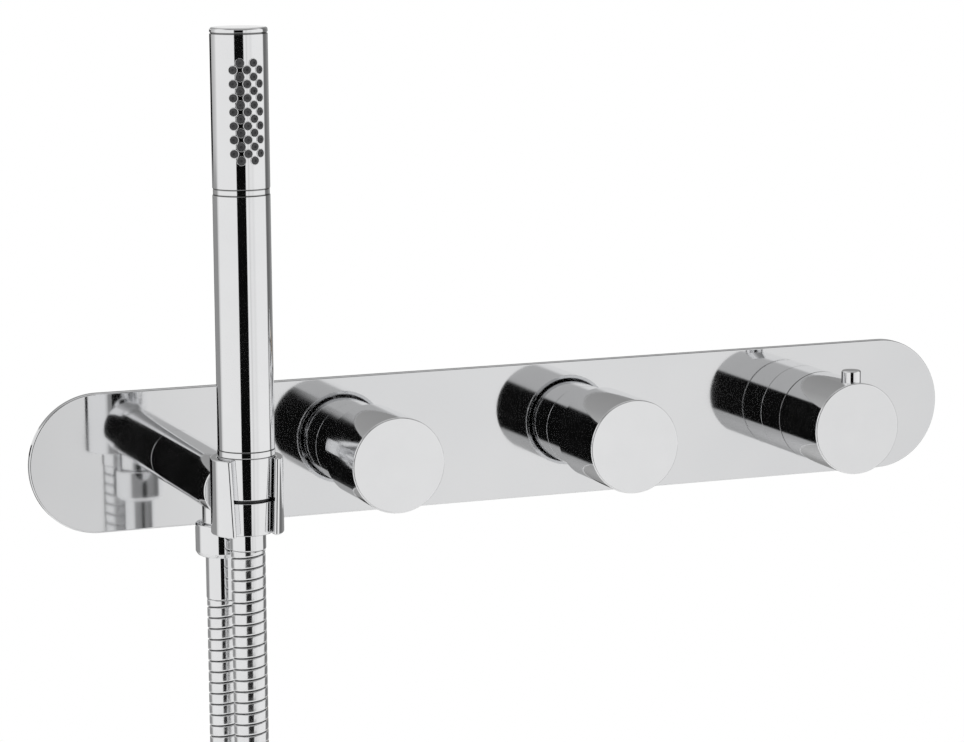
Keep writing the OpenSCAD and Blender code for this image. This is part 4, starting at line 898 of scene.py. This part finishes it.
# %% Plastic, ceramic and rubber finishes
coat("cartridge_plastic", (0.72, 0.71, 0.66), 0.0, 0.42, (0.36, 0.5, 0.004, 4),
     ((0.68, 0.67, 0.61), (0.76, 0.75, 0.70), 0.01, 3), (1.2e-5, 0.0005, 2))
coat("white_plastic", (0.80, 0.80, 0.79), 0.0, 0.4, (0.33, 0.48, 0.004, 4),
     ((0.77, 0.77, 0.75), (0.83, 0.83, 0.82), 0.012, 3), (1e-5, 0.0005, 2))
coat("black_plastic", (0.018, 0.018, 0.019), 0.0, 0.4, (0.32, 0.5, 0.003, 4),
     ((0.012, 0.012, 0.013), (0.028, 0.028, 0.03), 0.006, 3), (1e-5, 0.0004, 2))
coat("ceramic", (0.84, 0.83, 0.80), 0.0, 0.14, (0.1, 0.2, 0.003, 3),
     ((0.82, 0.81, 0.77), (0.87, 0.86, 0.84), 0.005, 3), (2e-6, 0.0006, 2))
coat("seal_rubber", (0.02, 0.02, 0.021), 0.0, 0.6, (0.5, 0.72, 0.003, 4),
     ((0.014, 0.014, 0.015), (0.034, 0.034, 0.035), 0.004, 4), (2e-5, 0.0005, 3))
coat("nozzle_rubber", (0.036, 0.036, 0.038), 0.0, 0.55, (0.45, 0.65, 0.002, 4),
     ((0.028, 0.028, 0.03), (0.05, 0.05, 0.052), 0.003, 4), (1e-5, 0.0004, 2))
coat("tie_rubber", (0.05, 0.05, 0.052), 0.0, 0.65, (0.55, 0.75, 0.003, 4),
     ((0.038, 0.038, 0.04), (0.07, 0.07, 0.072), 0.006, 4), (6e-5, 0.0012, 2))
print("soft and moulded finishes: 7")

# %% [markdown]
# ## The room that chrome shows
# Chrome has no look of its own, so the room around it is most of the picture. A photographer hangs
# white sheets about it, and black cards where an edge needs a dark line. The world does that here for
# reflections only, in bands by direction. Two grey cards and the tall part of the black one show only
# in reflections of reflections, so that the flat plate doesn't mirror them. To the camera the world is
# plain white, and to all that isn't a mirror it is an even soft light.

# %% Room helpers
world = bpy.data.worlds.new("room")
bpy.context.scene.world = world
world.use_nodes = True
room = world.node_tree
room.nodes.clear()


def compute(operation, *values):
    """A Math node; values are numbers or outputs."""
    return node(room, "Math", dict(enumerate(values)), operation=operation).outputs[0]


def toward(direction, axis):
    """How far a direction goes along a fixed axis."""
    return node(room, "VectorMath", {0: direction, 1: axis}, operation="DOT_PRODUCT").outputs["Value"]


def soft_step(value, at, width):
    """0 below a value, 1 above it, with a smooth change of the width given."""
    return node(room, "MapRange", {"Value": value, "From Min": at - width / 2, "From Max": at + width / 2},
                interpolation_type="SMOOTHSTEP").outputs["Result"]


def band(value, low, high, width):
    """1 between two values and 0 outside them."""
    above, beyond = soft_step(value, low, width), soft_step(value, high, width)
    return compute("MULTIPLY", above, compute("SUBTRACT", 1.0, beyond))


# %% Sheets and cards
direction = node(room, "TexCoord").outputs["Generated"]
front = toward(direction, (-0.364, -0.931, 0))
left = toward(direction, (-0.931, 0.364, 0))
turn_left = compute("MULTIPLY", compute("ARCTAN2", left, front), 180 / math.pi)
lift = compute("MULTIPLY", compute("ARCSINE", toward(direction, (0, 0, 1))), 180 / math.pi)

sheets = node(room, "ValToRGB", {"Fac": compute("MULTIPLY_ADD", turn_left, 1 / 360, 0.5)})
SHEETS = [(-180, 0.30), (-152, 0.28), (-142, 0.19), (-119, 0.13), (-113, 0.88), (-60, 0.88), (-51, 0.79),
          (-44, 0.84), (-38, 0.81), (-34, 0.68), (-30, 0.84), (-22, 0.85), (12, 0.85), (98, 0.86),
          (108, 0.62), (150, 0.33), (180, 0.28)]
stops = sheets.color_ramp.elements
for n, (at, shade) in enumerate(SHEETS):
    stop = stops[n] if n < 2 else stops.new(0.999)
    stop.position, stop.color = (at + 180) / 360, (shade, shade, shade, 1)
seen = sheets.outputs["Color"]

# Each card: its shade, from where to where it turns left and lifts, in degrees, with the softness of
# its edges, and whether only second reflections show it. Later cards lie over earlier ones.
BLACK, ALL_ROUND, BEHIND, OVERHEAD, BELOW = 0.003, None, 400, 180, -180
CARDS = [
    (0.62, ALL_ROUND, (38, OVERHEAD, 20), False),
    (0.10, (-105, 70, 12), (36, 64, 6), False),
    (0.55, ALL_ROUND, (BELOW, -42, 16), False),
    (0.50, (-42, 14, 4), (7, 36, 3), True),
    (0.42, (-41, 14, 4), (-36, -17, 3), True),
    (BLACK, (-22.4, 13.8, 1.6), (-12.8, -1, 1), False),
    (BLACK, (-14.5, 13.8, 1.6), (-16.4, -12, 1), False),
    (BLACK, (-22.4, 13.8, 1.6), (-22.5, 20.5, 1.6), True),
    (0.29, (110, BEHIND, 5), (-20, -5.5, 1), False),
    (0.04, (158, BEHIND, 6), (-20, -5.5, 1), False),
    (BLACK, (137, BEHIND, 3), (-5.5, 0, 0.8), False),
    (0.85, (137, BEHIND, 3), (0, 8, 0.8), False)]
ray = node(room, "LightPath").outputs
again = soft_step(ray["Ray Depth"], 1.5, 0.2)
for shade, sideways, upright, only_again in CARDS:
    inside = band(lift, *upright)
    if sideways:
        inside = compute("MULTIPLY", inside, band(turn_left, *sideways))
    if only_again:
        inside = compute("MULTIPLY", inside, again)
    seen = node(room, "Mix", {"Factor": inside, "A": seen, "B": shade}).outputs["Result"]
print("sheets and cards:", len(SHEETS) + len(CARDS))

# %% Light by kind of ray
SOFT_LIGHT = 0.85
mirror = compute("MAXIMUM", ray["Is Glossy Ray"], ray["Is Transmission Ray"])
light = node(room, "Mix", {"Factor": mirror, "A": SOFT_LIGHT, "B": seen}).outputs["Result"]
light = node(room, "Mix", {"Factor": ray["Is Camera Ray"], "A": light, "B": 1.0}).outputs["Result"]
background = node(room, "Background", {"Color": (1, 1, 1, 1), "Strength": light})
node(room, "OutputWorld", {"Surface": background.outputs["Background"]})
bpy.context.scene.view_settings.view_transform = "Standard"

# %% [markdown]
# ## Lamp and floor
# One large soft lamp from above and in front gives the brass and the floor some shape. It is kept out
# of reflections, which the sheets already fill. The floor is a pale round sheet under the coil, which
# fades into the white background at its rim and stays below what the photograph shows.

# %% Lamp and floor
lamp_data = bpy.data.lights.new("soft_lamp", "AREA")
lamp_data.shape, lamp_data.size, lamp_data.energy = "DISK", 1.2, 9.0
lamp = bpy.data.objects.new("soft_lamp", lamp_data)
bpy.context.scene.collection.objects.link(lamp)
lamp.location = (-0.7, -1.1, 1.4)
lamp.rotation_euler = (-lamp.location).to_track_quat("-Z", "Y").to_euler()
lamp.visible_glossy = False

FLOOR_Z = cad_low[2] / MM - 1.0
floor_rings = np.concatenate([[0], np.linspace(60, 900, 15)])
spread = floor_rings[:, None, None] * spoke(np.arange(96) * math.tau / 96)
middle = (np.array(cad_low[:2]) + cad_high[:2]) / 2 / MM
points = np.insert(spread + middle, 2, FLOOR_Z, axis=2)
floor_mesh = make_mesh("floor", points.reshape(-1, 3) * MM, [grid_quads(*spread.shape[:2])[:, ::-1]])
floor = bpy.data.objects.new("floor", floor_mesh)
bpy.context.scene.collection.objects.link(floor)
floor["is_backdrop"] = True

material = bpy.data.materials.new("pale_floor")
material.use_nodes = True
tree = material.node_tree
place = node(tree, "TexCoord").outputs["Object"]
reach = node(tree, "VectorMath", {0: place, 1: (middle[0] * MM, middle[1] * MM, FLOOR_Z * MM)},
             operation="DISTANCE").outputs["Value"]
fade = node(tree, "MapRange", {"Value": reach, "From Min": 0.35, "From Max": 0.88, "To Min": 1, "To Max": 0},
            interpolation_type="SMOOTHSTEP").outputs["Result"]
paint = tree.nodes["Principled BSDF"].inputs
paint["Base Color"].default_value = (0.86, 0.86, 0.86, 1)
paint["Roughness"].default_value = 0.9
tree.links.new(fade, paint["Alpha"])
floor_mesh.materials.append(material)
print("floor in mm:", round(FLOOR_Z, 1))

# %% [markdown]
# ## Close
# Both boxes, the CAD model's and the visual model's, are put side by side, and how far each corner moved is
# printed.

# %% Sizes
seen_low, seen_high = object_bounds()
sizes = {"cad": [list(cad_low), list(cad_high)], "visual": [list(seen_low), list(seen_high)]}
moved = (np.array(sizes["visual"]) - sizes["cad"]) / MM
print("corners moved by mm:", moved.round(2).tolist())
